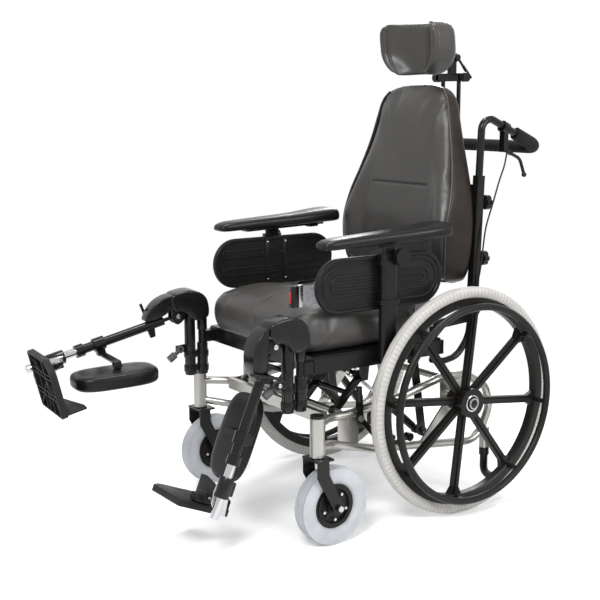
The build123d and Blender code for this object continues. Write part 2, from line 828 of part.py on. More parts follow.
def back_frame():
    made = None
    way = (0, cane_top_y - cane_bottom_y, cane_top_z - cane_bottom_z)
    for side in both:
        x = side * cane_x
        foot = Plane(origin=(x, cane_bottom_y, cane_bottom_z), x_dir=(1, 0, 0), z_dir=way)
        length = Vector(*way).length
        cane = extrude(foot * RectangleRounded(cane_side, cane_side, 4), length)
        points = [(side * arm_x, -34, 404), (side * arm_x, 0, 393), (side * arm_x, 58, 402),
                  (side * arm_x, 98, 450), (side * arm_x, 104, 500), (side * arm_x, cane_bottom_y, 590)]
        cane += pipe(points, [80, 60, 80, 100], lower_tube)
        arm = strap((hinge_y, hinge_z), (104, 506), 26, side * (arm_x - arm_plate / 2),
                    side * (arm_x + arm_plate / 2))
        arm += across(hinge_y, hinge_z, side * (arm_x - arm_plate), side * (arm_x + arm_plate + 4), 14)
        cane += arm
        cane -= across(hinge_y, hinge_z, side * (arm_x - 20), side * (arm_x + 20), hinge_pin + running_fit)
        well = Plane(origin=(x, cane_at(640), 640), x_dir=(1, 0, 0), z_dir=way)
        cane -= extrude(well * Circle(push_tube + running_fit), 300)
        made = cane if made is None else made + cane
    inner = cane_x - cane_side / 2
    for z in (690, 850):
        y = cane_at(z)
        made += block(-inner - 1, inner + 1, y - cane_side / 2 + 1, y - cane_side / 2 + 7, z - 15, z + 15)
    y = cane_at(850) - cane_side / 2 + 7
    neck = block(-20, 20, y - 1, head_post_y - 9, 842, 858)
    made += neck
    for side in both:
        socket = upright(side * head_post_x, head_post_y, 800, 900, head_post_radius + 4)
        made += socket
    made += block(-head_post_x, head_post_x, head_post_y - 5, head_post_y + 5, 830, 870)
    for side in both:
        made -= upright(side * head_post_x, head_post_y, 780, 920, head_post_radius + running_fit)
    return [made]


def back_outline():
    """Front view of the back: wide at the ribs, drawn in above the arms, round at the top."""
    half = back_width / 2
    top = back_top - back_bottom
    points = [(0, 0), (half - 30, 0), (half + 4, 130), (half, 225), (152, 440), (140, top)]
    bends = [55, 150, 250, 220, 75]
    other = [(-x, z) for x, z in reversed(points[1:])]
    ring = points + other + [(0, 0)]
    return make_face(route([(x, z, 0) for x, z in ring], bends + bends[::-1]))


def back_shell():
    """A shallow moulded tray: a plate with a turned-up rim."""
    up = Plane(origin=(0, 0, 0), x_dir=(1, 0, 0), z_dir=(0, -1, 0))
    outline = back_outline()
    tray = extrude(up * outline, 30)
    inner = offset(outline, amount=-4)
    hollow = extrude(Plane(origin=(0, -shell_thickness, 0), x_dir=(1, 0, 0), z_dir=(0, -1, 0)) * inner, 40)
    return [on_back(tray - hollow)]


def back_section(half, wing, middle):
    """Plan of the back cushion at one height: flat behind, a wing at each side, dished between."""
    y0 = -shell_thickness - gap
    x1 = half - 5
    with BuildSketch(Plane.XY) as plan:
        with BuildLine():
            Line((-x1 + 14, y0), (x1 - 14, y0))
            ThreePointArc((x1 - 14, y0), (x1 - 4, y0 - 5), (x1, y0 - 16))
            Line((x1, y0 - 16), (x1 - 2, -wing + 26))
            ThreePointArc((x1 - 2, -wing + 26), (x1 - 11, -wing + 6), (x1 - 30, -wing))
            ThreePointArc((x1 - 30, -wing), (0, -middle), (-x1 + 30, -wing))
            ThreePointArc((-x1 + 30, -wing), (-x1 + 11, -wing + 6), (-x1 + 2, -wing + 26))
            Line((-x1 + 2, -wing + 26), (-x1, y0 - 16))
            ThreePointArc((-x1, y0 - 16), (-x1 + 4, y0 - 5), (-x1 + 14, y0))
        make_face()
    return plan.sketch


def back_cushion():
    stations = (
        (6, 190, 70, 62), (30, 214, 98, 78), (100, 231, 120, 84), (165, 232, 122, 80), (235, 226, 104, 74),
        (300, 203, 82, 70), (370, 176, 68, 66.5), (440, 149, 62, 66), (490, 136, 60, 64), (515, 116, 56, 59),
        (531, 84, 52, 54),
    )
    faces = [Pos(0, 0, z) * back_section(half, wing, middle) for z, half, wing, middle in stations]
    body = loft(faces, ruled=True)
    seam_z = 268
    groove = block(-112, 112, -110, -70.5, seam_z, seam_z + 3)
    dish = upright(0, -72 - 330, seam_z - 1, seam_z + 4, 330)
    body -= groove & dish
    depth = 30 + gap
    well = extrude(Plane(origin=(0, 0, 0), x_dir=(1, 0, 0), z_dir=(0, -1, 0)) * offset(back_outline(), amount=-4 - gap),
                   depth)
    body -= block(-400, 400, -depth, 0, -20, back_top - back_bottom + 20) - well
    return [on_back(body)]


def knob_y(x, y, z):
    """A star knob whose axis runs rearwards from (x, y, z)."""
    stalk = bar((x, y, z), (x, y + 8, z), 6)
    disc = bar((x, y + 8, z), (x, y + 24, z), knob_radius)
    for k in range(6):
        turn = radians(30 + 60 * k)
        cx, cz = x + (knob_radius + 3) * cos(turn), z + (knob_radius + 3) * sin(turn)
        disc -= bar((cx, y + 6, cz), (cx, y + 26, cz), 6)
    return stalk + disc


def back_knobs():
    made = []
    for z in (upper_knob_z, lower_knob_z):
        made += pair(knob_y(cane_x, cane_at(z) + cane_side / 2 + 0.6, z))
    return made


# ---------------------------------------------------------------- push handle

def push_line():
    foot_z, top_z = 655, push_z + 16
    return [
        (cane_x, cane_at(foot_z), foot_z),
        (cane_x, cane_at(top_z), top_z),
        (cane_x, grip_y + 18, 958),
        (-cane_x, grip_y + 18, 958),
        (-cane_x, cane_at(top_z), top_z),
        (-cane_x, cane_at(foot_z), foot_z),
    ]


def push_bar():
    """One bent tube: up out of both canes, back, and across as the handle."""
    tube = pipe(push_line(), [30, 38, 38, 30], push_tube)
    made = tube
    for side in both:
        hub = brake_root()
        ring = bar((side * cane_x, hub[0] - 9, hub[1] + 4), (side * cane_x, hub[0] + 9, hub[1] - 4), push_tube + 6)
        body = block(side * (cane_x - 9), side * (cane_x + 9), hub[0] - 8, hub[0] + 8, hub[1] - 66, hub[1])
        body -= block(side * (cane_x - 4), side * (cane_x + 4), hub[0] - 20, hub[0] + 20, hub[1] - 70, hub[1] - 42)
        pin = across(hub[0], hub[1] - 56, side * (cane_x - 9), side * (cane_x + 9), 3)
        made += ring + body + pin
    return [made]


def brake_root():
    """Where the brake clamp sits on the sloping part of the push tube, as (Y, Z)."""
    return 208, 1015


def push_grip():
    """Foam sleeve over the handle and both its corners."""
    a, b = push_line()[1], push_line()[2]
    share = (250 - a[1]) / (b[1] - a[1])
    start_z = a[2] + share * (b[2] - a[2])
    line = [(cane_x, 250, start_z), b, push_line()[3], (-cane_x, 250, start_z)]
    sleeve = pipe(line, [38, 38], foam_radius)
    return [sleeve - pipe(line, [38, 38], push_tube + running_fit)]


def hand_brake():
    """A lever hung in its clamp and curling back below the grip."""
    y, z = brake_root()
    py, pz = y, z - 56
    lever = strap((py, pz), (py + 26, pz - 14), 12, cane_x - 3.5, cane_x + 3.5)
    lever += pipe([(cane_x, py + 22, pz - 12), (cane_x, py + 62, pz - 30), (cane_x, py + 80, pz - 74)], [30], 4.5)
    lever += Pos(cane_x, py + 80, pz - 74) * Sphere(7)
    lever -= across(py, pz, cane_x - 20, cane_x + 20, 3 + running_fit)
    return [lever]


def brake_cables():
    """A cable from each brake clamp, down the outside of the cane to its foot."""
    y, z = brake_root()
    x = cane_x + cane_side / 2 + 11
    points = [
        (cane_x + 11.6, y + 2, z - 62), (cane_x + 12, y - 6, z - 100), (x, y - 36, z - 140),
        (x, 150, 812), (x, 126, 752), (x, 118, 690), (x, 112, 644), (x - 5, 110, 612),
        (cane_x + cane_side / 2 + 2.4, 108, 584),
    ]
    bends = cable_bends(points)
    print("cable bends", [round(b) for b in bends])
    return pair(pipe(points, bends, 2.2))


def cable_bends(points):
    """The largest tangent arc that each corner's two runs allow."""
    found = []
    vectors = [Vector(*p) for p in points]
    for before, corner, after in zip(vectors, vectors[1:], vectors[2:]):
        turn = 180 - (before - corner).get_angle(after - corner)
        shorter = min((before - corner).length, (after - corner).length)
        found.append(0.45 * shorter / tan(radians(turn / 2)))
    return found


# ---------------------------------------------------------------- headrest

def headrest_posts():
    """Two posts with the cross clamp and upright block that the pad's arm is hung on."""
    y = head_post_y
    made = None
    for side in both:
        post = upright(side * head_post_x, y, 812, 1150, head_post_radius)
        made = post if made is None else made + post
    clamp = block(-head_post_x - 9, head_post_x + 9, y - 11, y + 11, 1140, 1162)
    neck = block(-7, 7, y - 8, y + 14, 1160, 1206)
    neck += across(y + 12, 1206, -7, 7, 12)
    made += clamp + neck
    for side in both:
        made += across(y, 1151, side * (head_post_x + 9), side * (head_post_x + 17), 5)
        made += across(y, 1151, side * (head_post_x + 17), side * (head_post_x + 34), 13)
    made -= block(-4, 4, y - 20, y + 30, 1188, 1225)
    made += across(y + 12, 1206, -8, 8, 4)
    return [made]


def head_section(half, wing, middle, back):
    """Plan of the head pad: dished in front, its wings brought forward."""
    with BuildSketch(Plane.XY) as plan:
        with BuildLine():
            ThreePointArc((-half * 0.55, back), (0, back + 8), (half * 0.55, back))
            Line((half * 0.55, back), (half * 0.92, back - 30))
            ThreePointArc((half * 0.92, back - 30), (half, back - 45), (half * 0.98, wing + 14))
            ThreePointArc((half * 0.98, wing + 14), (half * 0.94, wing + 2), (half * 0.86, wing))
            ThreePointArc((half * 0.86, wing), (0, middle), (-half * 0.86, wing))
            ThreePointArc((-half * 0.86, wing), (-half * 0.94, wing + 2), (-half * 0.98, wing + 14))
            ThreePointArc((-half * 0.98, wing + 14), (-half, back - 45), (-half * 0.92, back - 30))
            Line((-half * 0.92, back - 30), (-half * 0.55, back))
        make_face()
    return plan.sketch


def headrest_pad():
    """The winged pad and the arm from its back to the pivot on the posts."""
    half = head_pad_width / 2
    low = head_pad_z - head_pad_height / 2
    back = head_pad_y + head_pad_depth
    stations = (
        (0, 0.80, 12), (12, 0.94, 3), (34, 0.99, 0), (head_pad_height * 0.6, 1.0, 0),
        (head_pad_height - 20, 0.97, 2), (head_pad_height - 6, 0.9, 8), (head_pad_height, 0.78, 14),
    )
    faces = []
    for z, share, inset in stations:
        faces.append(Pos(0, 0, low + z) * head_section(half * share, head_pad_y - 22 + inset,
                                                        head_pad_y + 16 + inset * 0.4, back - inset * 0.5))
    pad = loft(faces, ruled=True)
    y = head_post_y + 12
    arm = block(-3.6, 3.6, back + 4, y, 1200, 1212) + across(y, 1206, -3.6, 3.6, 9)
    plate = block(-24, 24, back - 6, back + 12, 1188, 1224)
    arm = arm + plate
    arm -= across(y, 1206, -10, 10, 4 + running_fit)
    return [pad - plate, arm]


def headrest_lever():
    y = head_post_y + 12
    lever = across(y, 1206, 8.4, 16, 9)
    lever += bar((12.2, y + 4, 1202), (12.2, y + 24, 1180), 3.5)
    return [lever + bar((12.2, y + 22, 1182), (12.2, y + 52, 1150), 4.5)]


# ---------------------------------------------------------------- legrests

def hanging(x, u, n):
    """A point in a legrest that hangs straight down: x outward, u down from the knee, n forward."""
    return knee_x + x, knee_y - n, knee_z - u


def leg_bar(a, b, radius):
    return bar(hanging(*a), hanging(*b), radius)


def leg_slab(outline, x0, x1):
    """A plate whose outline is in (u, n)."""
    return slab([(knee_y - n, knee_z - u) for u, n in outline], knee_x + x0, knee_x + x1)


def leg_block(x0, x1, u0, u1, n0, n1):
    return block(knee_x + x0, knee_x + x1, knee_y - n0, knee_y - n1, knee_z - u0, knee_z - u1)


def leg_across(u, n, x0, x1, radius):
    return across(knee_y - n, knee_z - u, knee_x + x0, knee_x + x1, radius)


def raised(solids, angle, swing):
    """Raises a hanging legrest's pieces about the knee, then swings them outward on the hanger."""
    turned = []
    for solid in solids:
        up = solid.rotate(Axis((0, knee_y, knee_z), (1, 0, 0)), -angle)
        turned.append(up.rotate(Axis((hanger_x, hanger_y, 0), (0, 0, 1)), swing))
    return turned


def knee_hanger():
    """Front tube, collars round the seat's post, knee cover and hinge cheeks."""
    front = upright(hanger_x, hanger_front_y, hanger_bottom, knee_z + 12, hanger_radius)
    made = front
    for z0, z1 in ((hanger_bottom + 6, hanger_bottom + 26), (388, 408)):
        collar = upright(hanger_x, hanger_y, z0, z1, hanger_radius + 5)
        collar += upright(hanger_x, hanger_front_y, z0, z1, hanger_radius + 4)
        collar += block(hanger_x - 6, hanger_x + 6, hanger_front_y, hanger_y, z0, z1)
        made += collar
    made += block(hanger_x - 8, hanger_x + 8, hanger_front_y, hanger_y, hanger_top + 3, knee_z + 8)
    for z0, z1 in ((hanger_bottom, rail_span()[0] - 2), (rail_span()[1] + 3, hanger_top + 14)):
        made += upright(hanger_x, hanger_y, z0, z1, hanger_radius + 2.6)
    made -= upright(hanger_x, hanger_y, hanger_bottom - 1, hanger_top + 0.4, hanger_radius + running_fit)
    cover = knee_cover()
    made += cover
    for x0, x1 in ((leg_x - 15, leg_x - 9), (leg_x + 9, leg_x + 15)):
        cheek = leg_across(0, 0, x0, x1, 24)
        cheek += leg_slab([(-20, 0), (20, 0), (16, -34), (-16, -34)], x0, x1)
        made += cheek
    made += leg_across(0, 0, leg_x - 15, leg_x + 18, 4)
    made += leg_across(0, 0, leg_x + 15, leg_x + 19, 8)
    made += leg_across(latch_u, latch_n, latch_x - 3, 12, 5)
    made += leg_slab([(84, -42), (108, -42), (106, -4), (88, -4)], 8, 12)
    return [made]


def knee_cover():
    """A hollow bean-shaped cover, open in front where the legrest's own cover slides into it."""
    points = [(22, 30), (21, 63), (-36, 70), (-72, 68), (-99, 40), (-98, -6), (-78, -13), (-47, -14),
              (-27, 6), (2, 16)]
    profile = make_face(Polyline(*[(knee_y - n, knee_z + up) for n, up in points], close=True))
    cover = extrude(Plane.YZ.offset(knee_x - 29) * profile, 58)
    hollow = leg_across(0, 0, -26, 26, knee_sweep)
    hollow &= leg_block(-26, 26, -100, 100, -37, 100)
    lower = leg_slab([(-36, -30), (-36, -88), (30, -88), (30, -30)], -17, 17)
    return cover - hollow - (leg_slab([(-30, 0), (40, 0), (40, -27), (-30, -27)], -26, 26) - lower)


def knee_lobe():
    """The legrest's own cover over the top of its tube, with a tail that runs into the knee cover."""
    outline = [
        (22.6, 22), (22.6, 59), (42, 58), (62, 51), (78, 39), (89, 24), (91, 14),
        (80, leg_radius), (60, leg_radius), (42, 14),
    ]
    body = leg_slab(outline, -24.5, 24.5)
    tail = leg_across(0, 0, -24.5, 24.5, knee_sweep - 1.5) - leg_across(0, 0, -26, 26, 30)
    tail &= leg_slab([(23, 16), (-34, 44), (-50, 100), (23, 100)], -24.5, 24.5)
    lobe = body + tail
    return [lobe - leg_across(0, 0, -30, 30, 27)]


def leg_tube():
    """Black tube with its knee eye, chrome rod, end collar, calf clamp, release lever and ratchet lug."""
    tube = leg_bar((leg_x, leg_top, 0), (leg_x, leg_bottom, 0), leg_radius)
    tube += leg_bar((leg_x, 0, 0), (leg_x, leg_top + 6, 0), knee_rod)
    tube += leg_across(0, 0, leg_x - 8.6, leg_x + 8.6, 10)
    tube += leg_bar((leg_x, leg_bottom - 18, 0), (leg_x, leg_bottom + 4, 0), collar_radius)
    tube += leg_bar((leg_x, 216, 0), (leg_x, 246, 0), collar_radius + 1)
    tube += leg_slab([(70, -8), (92, -8), (88, -34), (74, -34)], leg_x - 4, leg_x + 4)
    tube += leg_block(leg_x, leg_x + release_x + 2, release_u - 6, release_u + 7, -8, 8)
    tube += leg_bar((leg_x + release_x, release_u - 5, -38), (leg_x + release_x, release_u + 8, 55), 4)
    tube += leg_block(leg_x - 9, leg_x + 9, 220, 242, -12, -30)
    tube += leg_block(calf_x - 8, leg_x + 9, 222, 240, -25, -30)
    tube -= leg_bar((leg_x, chrome_top - 40, 0), (leg_x, leg_bottom + 5, 0), chrome_radius + running_fit)
    tube -= leg_across(0, 0, leg_x - 20, leg_x + 20, 4 + running_fit)
    lugs = leg_block(calf_x - 12, calf_x - 7, 222, 240, -25, -42) + leg_block(calf_x + 7, calf_x + 12, 222, 240, -25, -42)
    lugs += leg_across(231, -37, calf_x - 12, calf_x + 12, 3)
    return [tube + lugs]


def calf_pad():
    """The padded calf plate on its short pivot block."""
    levels = ((0, 0.80, 0.74), (8, 0.97, 0.96), (calf_depth * 0.5, 1, 1), (calf_depth - 8, 0.94, 0.9),
              (calf_depth, 0.78, 0.68))
    faces = []
    for n, long, wide in levels:
        x, y, z = hanging(calf_x, calf_u, calf_n - calf_depth / 2 + n)
        plane = Plane(origin=(x, y, z), x_dir=(1, 0, 0), z_dir=(0, -1, 0))
        faces.append(plane * RectangleRounded(calf_width * wide, calf_length * long, 46 * wide))
    pad = loft(faces, ruled=True)
    neck = leg_block(calf_x - 6.6, calf_x + 6.6, 224, 238, -34, calf_n + calf_depth / 2 - 6)
    neck += leg_across(231, -37, calf_x - 6.6, calf_x + 6.6, 7)
    plate = leg_block(calf_x - 20, calf_x + 20, 200, 262, calf_n + calf_depth / 2 - 4, calf_n + calf_depth / 2 + 1)
    neck += plate
    neck -= leg_across(231, -37, calf_x - 10, calf_x + 10, 3 + running_fit)
    return [pad - neck, neck]


def lifted(solids, angle):
    """Turns a hanging calf pad about its own pin."""
    pin = Axis(hanging(calf_x, calf_pin_u, calf_pin_n), (1, 0, 0))
    return [solid.rotate(pin, -angle) for solid in solids]


def foot_tube():
    """Chrome inner tube with the clamp sleeve and bracket that carry the footplate."""
    tube = leg_bar((leg_x, chrome_top, 0), (leg_x, chrome_bottom, 0), chrome_radius)
    sleeve = leg_bar((leg_x, 329, 0), (leg_x, 380, 0), 18.5)
    bracket = leg_slab([(336, 8), (372, 12), (fold_u + 4, fold_n + 13), (fold_u + 14, fold_n + 4), (424, -14),
                        (424, -40), (384, -34), (340, -14)], leg_x - 21, leg_x - 15)
    bracket += leg_block(leg_x - 18, leg_x - 12, 340, 376, -8, 8)
    pin = leg_across(fold_u, fold_n, plate_outer - 4, leg_x - 15, pin_radius)
    return [tube + sleeve + bracket + pin]


def footplate():
    """Tread plate with ribs below, a heel wall, a side ear on the fold bolt and a corner gusset."""
    tread = leg_block(plate_inner, plate_outer, plate_top, plate_top + plate_thick, plate_rear, plate_front)
    pocket_count_x, pocket_count_n = 4, 3
    wide = (plate_outer - plate_inner - 10) / pocket_count_x
    long = (plate_front - plate_rear - 10) / pocket_count_n
    for i in range(pocket_count_x):
        for j in range(pocket_count_n):
            x = plate_inner + 5 + i * wide
            n = plate_rear + 5 + j * long
            tread -= leg_block(x + 2, x + wide - 2, plate_top + 5, plate_top + plate_thick + 1, n + 2, n + long - 2)
    heel = leg_block(plate_inner, plate_outer, plate_top - 52, plate_top + 2, plate_rear, plate_rear + 5)
    ear = leg_slab([(plate_top + 2, plate_front - 4), (plate_top - 8, plate_front - 10), (fold_u - 6, 12),
                    (fold_u - 10, -8), (plate_top - 34, plate_rear), (plate_top + 2, plate_rear)],
                   plate_outer - 6, plate_outer)
    ear += leg_across(fold_u, fold_n, plate_outer - 6, plate_outer, 13)
    gusset = leg_slab([(plate_top + 2, 8), (plate_top - 50, plate_rear), (plate_top + 2, plate_rear)],
                      plate_inner, plate_inner + 5)
    plate = tread + heel + ear + gusset
    plate -= leg_across(fold_u, fold_n, plate_outer - 20, plate_outer + 20, pin_radius + running_fit)
    return [plate]


def latch():
    """Ribbed thumb lever that frees the legrest to swing."""
    lever = leg_across(latch_u, latch_n, latch_x - 3, latch_x + 3.5, 10)
    lever += leg_bar((latch_x, latch_u + 2, latch_n + 2), (latch_x, latch_u + 15, latch_n + 19), 5.5)
    lever += leg_bar((latch_x, latch_u + 13, latch_n + 16), (latch_x, latch_u + 26, latch_n + 34), 10)
    lever -= leg_across(latch_u, latch_n, -20, 20, 5 + running_fit)
    return [lever]


# ---------------------------------------------------------------- output

def place_all():
    """Every node's solids, with Y = 0 at the rear axle."""
    made = {}
    left_frame = side_frame()
    brackets = brake_plates()
    made["side_frame_left"] = left_frame + brackets
    made["side_frame_right"] = [flip(s) for s in left_frame + brackets]
    made["cross_members"] = cross_members(left_frame[:1] + brackets)
    for name, maker in (
        ("anti_tipper", anti_tipper), ("wheel_brake", wheel_brake), ("caster_fork", caster_fork),
        ("caster_wheel", caster_wheel), ("caster_tyre", caster_tyre),
        ("rear_wheel", rear_wheel), ("rear_tyre", rear_tyre),
    ):
        solids = maker()
        made[name + "_left"] = solids
        made[name + "_right"] = [flip(s) for s in solids]
    made["front_links"] = front_links()
    made["rear_links"] = rear_links()
    made["tilt_cylinders"] = tilt_cylinders()
    made["tilt_rods"] = tilt_rods()
    made["seat_frame"] = seat_frame()
    made["seat_cushion"] = seat_cushion()
    made["arm_posts"] = arm_posts()
    made["side_panels"] = side_panels()
    made["lap_belt"] = lap_belt()
    made["buckle_button"] = buckle_button()
    for name, maker in (("arm_slide", arm_slide), ("arm_pad", arm_pad), ("hand_brake", hand_brake)):
        solids = maker()
        made[name + "_left"] = solids
        made[name + "_right"] = [flip(s) for s in solids]
    made["back_frame"] = back_frame()
    made["back_shell"] = back_shell()
    made["back_cushion"] = back_cushion()
    made["back_knobs"] = back_knobs()
    made["push_bar"] = push_bar()
    made["push_grip"] = push_grip()
    made["brake_cables"] = brake_cables()
    made["headrest_posts"] = headrest_posts()
    made["headrest_pad"] = headrest_pad()
    made["headrest_lever"] = headrest_lever()
    hanger = [("knee_hanger", knee_hanger()), ("latch", latch())]
    leg = [("knee_lobe", knee_lobe()), ("leg_tube", leg_tube()), ("foot_tube", foot_tube()),
           ("footplate", footplate())]
    for name, solids in hanger:
        made[name + "_left"] = raised(solids, 0, left_swing)
        made[name + "_right"] = [flip(s) for s in raised(solids, 0, right_swing)]
    for name, solids in leg:
        made[name + "_left"] = raised(solids, left_raise, left_swing)
        made[name + "_right"] = [flip(s) for s in raised(solids, right_raise, right_swing)]
    pad = calf_pad()
    made["calf_pad_left"] = raised(lifted(pad, left_calf), left_raise, left_swing)
    made["calf_pad_right"] = [flip(s) for s in raised(lifted(pad, right_calf), right_raise, right_swing)]
    return made


def write(made):
    os.makedirs("parts", exist_ok=True)
    whole = Compound(children=[Compound(children=list(s)) for s in made.values()])
    box = whole.bounding_box()
    shift = Vector(-(box.min.X + box.max.X) / 2, -(box.min.Y + box.max.Y) / 2, -box.min.Z)
    print("overall", box.size, "moved by", shift)
    for name, solids in made.items():
        export_step(Pos(shift) * Compound(children=list(solids)), "parts/" + name + ".step")


if __name__ == "__main__":
    write(place_all())
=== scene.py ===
import json
from math import atan2, cos, exp, pi, radians, sin, tan

import bmesh
import bpy
from mathutils import Matrix, Vector


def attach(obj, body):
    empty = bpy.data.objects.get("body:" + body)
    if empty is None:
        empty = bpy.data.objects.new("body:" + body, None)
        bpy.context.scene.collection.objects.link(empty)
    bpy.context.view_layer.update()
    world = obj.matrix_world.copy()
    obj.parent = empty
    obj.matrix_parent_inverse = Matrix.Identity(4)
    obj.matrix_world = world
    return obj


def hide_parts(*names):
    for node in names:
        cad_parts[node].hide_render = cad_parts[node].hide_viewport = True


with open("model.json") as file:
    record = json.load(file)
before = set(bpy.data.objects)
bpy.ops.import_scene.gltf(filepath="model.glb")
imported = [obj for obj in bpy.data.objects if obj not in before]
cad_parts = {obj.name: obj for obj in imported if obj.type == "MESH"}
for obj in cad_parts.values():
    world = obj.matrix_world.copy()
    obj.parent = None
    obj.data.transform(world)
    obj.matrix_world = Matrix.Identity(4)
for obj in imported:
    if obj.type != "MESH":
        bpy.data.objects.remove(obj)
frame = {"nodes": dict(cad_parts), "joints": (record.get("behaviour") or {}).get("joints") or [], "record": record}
bpy.context.scene.view_settings.view_transform = "Standard"
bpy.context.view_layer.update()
print("frame loaded:", len(frame["nodes"]), "nodes")

jointPlace = {j["name"]: Vector(j["pos_m"]) for j in frame["joints"] if "pos_m" in j}
axleY = jointPlace["wheel_roll_left"].y     # the rear axle, which part.py models from


def place(x, y, z):     # millimetres measured from the rear axle's line and the floor
    return Vector((x / 1000, axleY + y / 1000, z / 1000))


# camera, floor and light

cameraSettings = {
    "target": place(-168.3, -200.0, 527.7),
    "azimuth": 55.62,
    "elevation": 9.98,
    "distance": 3.272,
    "lens": 68.89,
    "roll": -0.14,
}


def makeCamera():
    s = cameraSettings
    turn, lift = radians(s["azimuth"]), radians(s["elevation"])
    away = Vector((sin(turn) * cos(lift), -cos(turn) * cos(lift), sin(lift)))
    data = bpy.data.cameras.new("viewCamera")
    data.lens = s["lens"]
    data.sensor_width = 36
    camera = bpy.data.objects.new("viewCamera", data)
    bpy.context.scene.collection.objects.link(camera)
    camera.location = s["target"] + away * s["distance"]
    aim = (-away).to_track_quat("-Z", "Y")
    camera.rotation_euler = (aim.to_matrix() @ Matrix.Rotation(radians(s["roll"]), 3, "Z")).to_euler()
    bpy.context.scene.camera = camera


lightSettings = {
    "world": 0.42,
    "aim": (0, 0, 0.55),
    "lamps": {
        "key": {"place": (2.4, -2.6, 3.4), "size": 1.3, "power": 130},
        "fill": {"place": (3.6, 1.6, 2.0), "size": 1.5, "power": 60},
        "back": {"place": (-2.6, 2.6, 2.6), "size": 1.4, "power": 60},
        "top": {"place": (0.0, 0.2, 3.8), "size": 1.3, "power": 75},
    },
}


def makeLights():
    for name, s in lightSettings["lamps"].items():
        data = bpy.data.lights.new(name + "Lamp", "AREA")
        data.shape = "DISK"
        data.size = s["size"]
        data.energy = s["power"]
        lamp = bpy.data.objects.new(name + "Lamp", data)
        lamp.location = s["place"]
        toAim = Vector(lightSettings["aim"]) - lamp.location
        lamp.rotation_euler = toAim.to_track_quat("-Z", "Y").to_euler()
        bpy.context.scene.collection.objects.link(lamp)


def whiteForCamera(tree, plain, white, out, surface):     # camera, mirror and glass rays see plain white
    path = tree.nodes.new("ShaderNodeLightPath")
    either = tree.nodes.new("ShaderNodeMath")
    either.operation = "MAXIMUM"
    tree.links.new(path.outputs["Is Camera Ray"], either.inputs[0])
    tree.links.new(path.outputs["Is Glossy Ray"], either.inputs[1])
    anyOf = tree.nodes.new("ShaderNodeMath")
    anyOf.operation = "MAXIMUM"
    tree.links.new(either.outputs[0], anyOf.inputs[0])
    tree.links.new(path.outputs["Is Transmission Ray"], anyOf.inputs[1])
    mix = tree.nodes.new("ShaderNodeMixShader")
    tree.links.new(anyOf.outputs[0], mix.inputs[0])
    tree.links.new(plain.outputs[0], mix.inputs[1])
    tree.links.new(white.outputs[0], mix.inputs[2])
    tree.links.new(mix.outputs[0], out.inputs[surface])


def makeWorld():
    world = bpy.data.worlds.new("studioWorld")
    bpy.context.scene.world = world
    world.use_nodes = True
    tree = world.node_tree
    tree.nodes.clear()
    out = tree.nodes.new("ShaderNodeOutputWorld")
    plain = tree.nodes.new("ShaderNodeBackground")
    plain.inputs["Color"].default_value = (0.93, 0.95, 1.0, 1)
    plain.inputs["Strength"].default_value = lightSettings["world"]
    white = tree.nodes.new("ShaderNodeBackground")
    white.inputs["Color"].default_value = (1, 1, 1, 1)
    white.inputs["Strength"].default_value = 1.0
    whiteForCamera(tree, plain, white, out, "Surface")


floorSettings = {
    "size": 16,
    "colour": (0.93, 0.93, 0.93),
    "lift": 0.27,        # added for the camera alone, so that what isn't in shadow is white
    "fadeFrom": 1.0,     # metres from the chair where the shadows begin to fade out
    "fadeTo": 1.9,
}


def makeFloor():
    s = floorSettings
    bpy.ops.mesh.primitive_plane_add(size=s["size"], location=(0, 0, 0))
    floor = bpy.context.object
    floor.name = "studioFloor"
    material = bpy.data.materials.new("paleFloor")
    material.use_nodes = True
    tree = material.node_tree
    shader = tree.nodes["Principled BSDF"]
    shader.inputs["Base Color"].default_value = (*s["colour"], 1)
    shader.inputs["Roughness"].default_value = 0.9
    shader.inputs["Specular IOR Level"].default_value = 0.1
    lift = tree.nodes.new("ShaderNodeEmission")
    lift.inputs["Strength"].default_value = s["lift"]
    lifted = tree.nodes.new("ShaderNodeAddShader")
    tree.links.new(shader.outputs[0], lifted.inputs[0])
    tree.links.new(lift.outputs[0], lifted.inputs[1])
    white = tree.nodes.new("ShaderNodeEmission")
    spot = tree.nodes.new("ShaderNodeTexCoord")
    reach = tree.nodes.new("ShaderNodeVectorMath")
    reach.operation = "LENGTH"
    tree.links.new(spot.outputs["Object"], reach.inputs[0])
    fade = tree.nodes.new("ShaderNodeMapRange")
    fade.interpolation_type = "SMOOTHSTEP"
    fade.inputs["From Min"].default_value = s["fadeFrom"]
    fade.inputs["From Max"].default_value = s["fadeTo"]
    tree.links.new(reach.outputs["Value"], fade.inputs["Value"])
    seen = tree.nodes.new("ShaderNodeMixShader")
    tree.links.new(fade.outputs[0], seen.inputs[0])
    tree.links.new(lifted.outputs[0], seen.inputs[1])
    tree.links.new(white.outputs[0], seen.inputs[2])
    whiteForCamera(tree, shader, seen, tree.nodes["Material Output"], "Surface")
    floor.data.materials.append(material)


# materials

def newMaterial(name, colour, roughness, metallic=0.0, coat=0.0, coatRoughness=0.1, sheen=0.0, specular=0.5):
    material = bpy.data.materials.new(name)
    material.use_nodes = True
    shader = material.node_tree.nodes["Principled BSDF"]
    shader.inputs["Base Color"].default_value = (*colour, 1)
    shader.inputs["Roughness"].default_value = roughness
    shader.inputs["Metallic"].default_value = metallic
    shader.inputs["Coat Weight"].default_value = coat
    shader.inputs["Coat Roughness"].default_value = coatRoughness
    shader.inputs["Sheen Weight"].default_value = sheen
    shader.inputs["Specular IOR Level"].default_value = specular
    return material


def addNode(material, kind, **settings):
    node = material.node_tree.nodes.new(kind)
    for key, value in settings.items():
        if hasattr(node, key):
            setattr(node, key, value)
        else:
            node.inputs[key].default_value = value
    return node


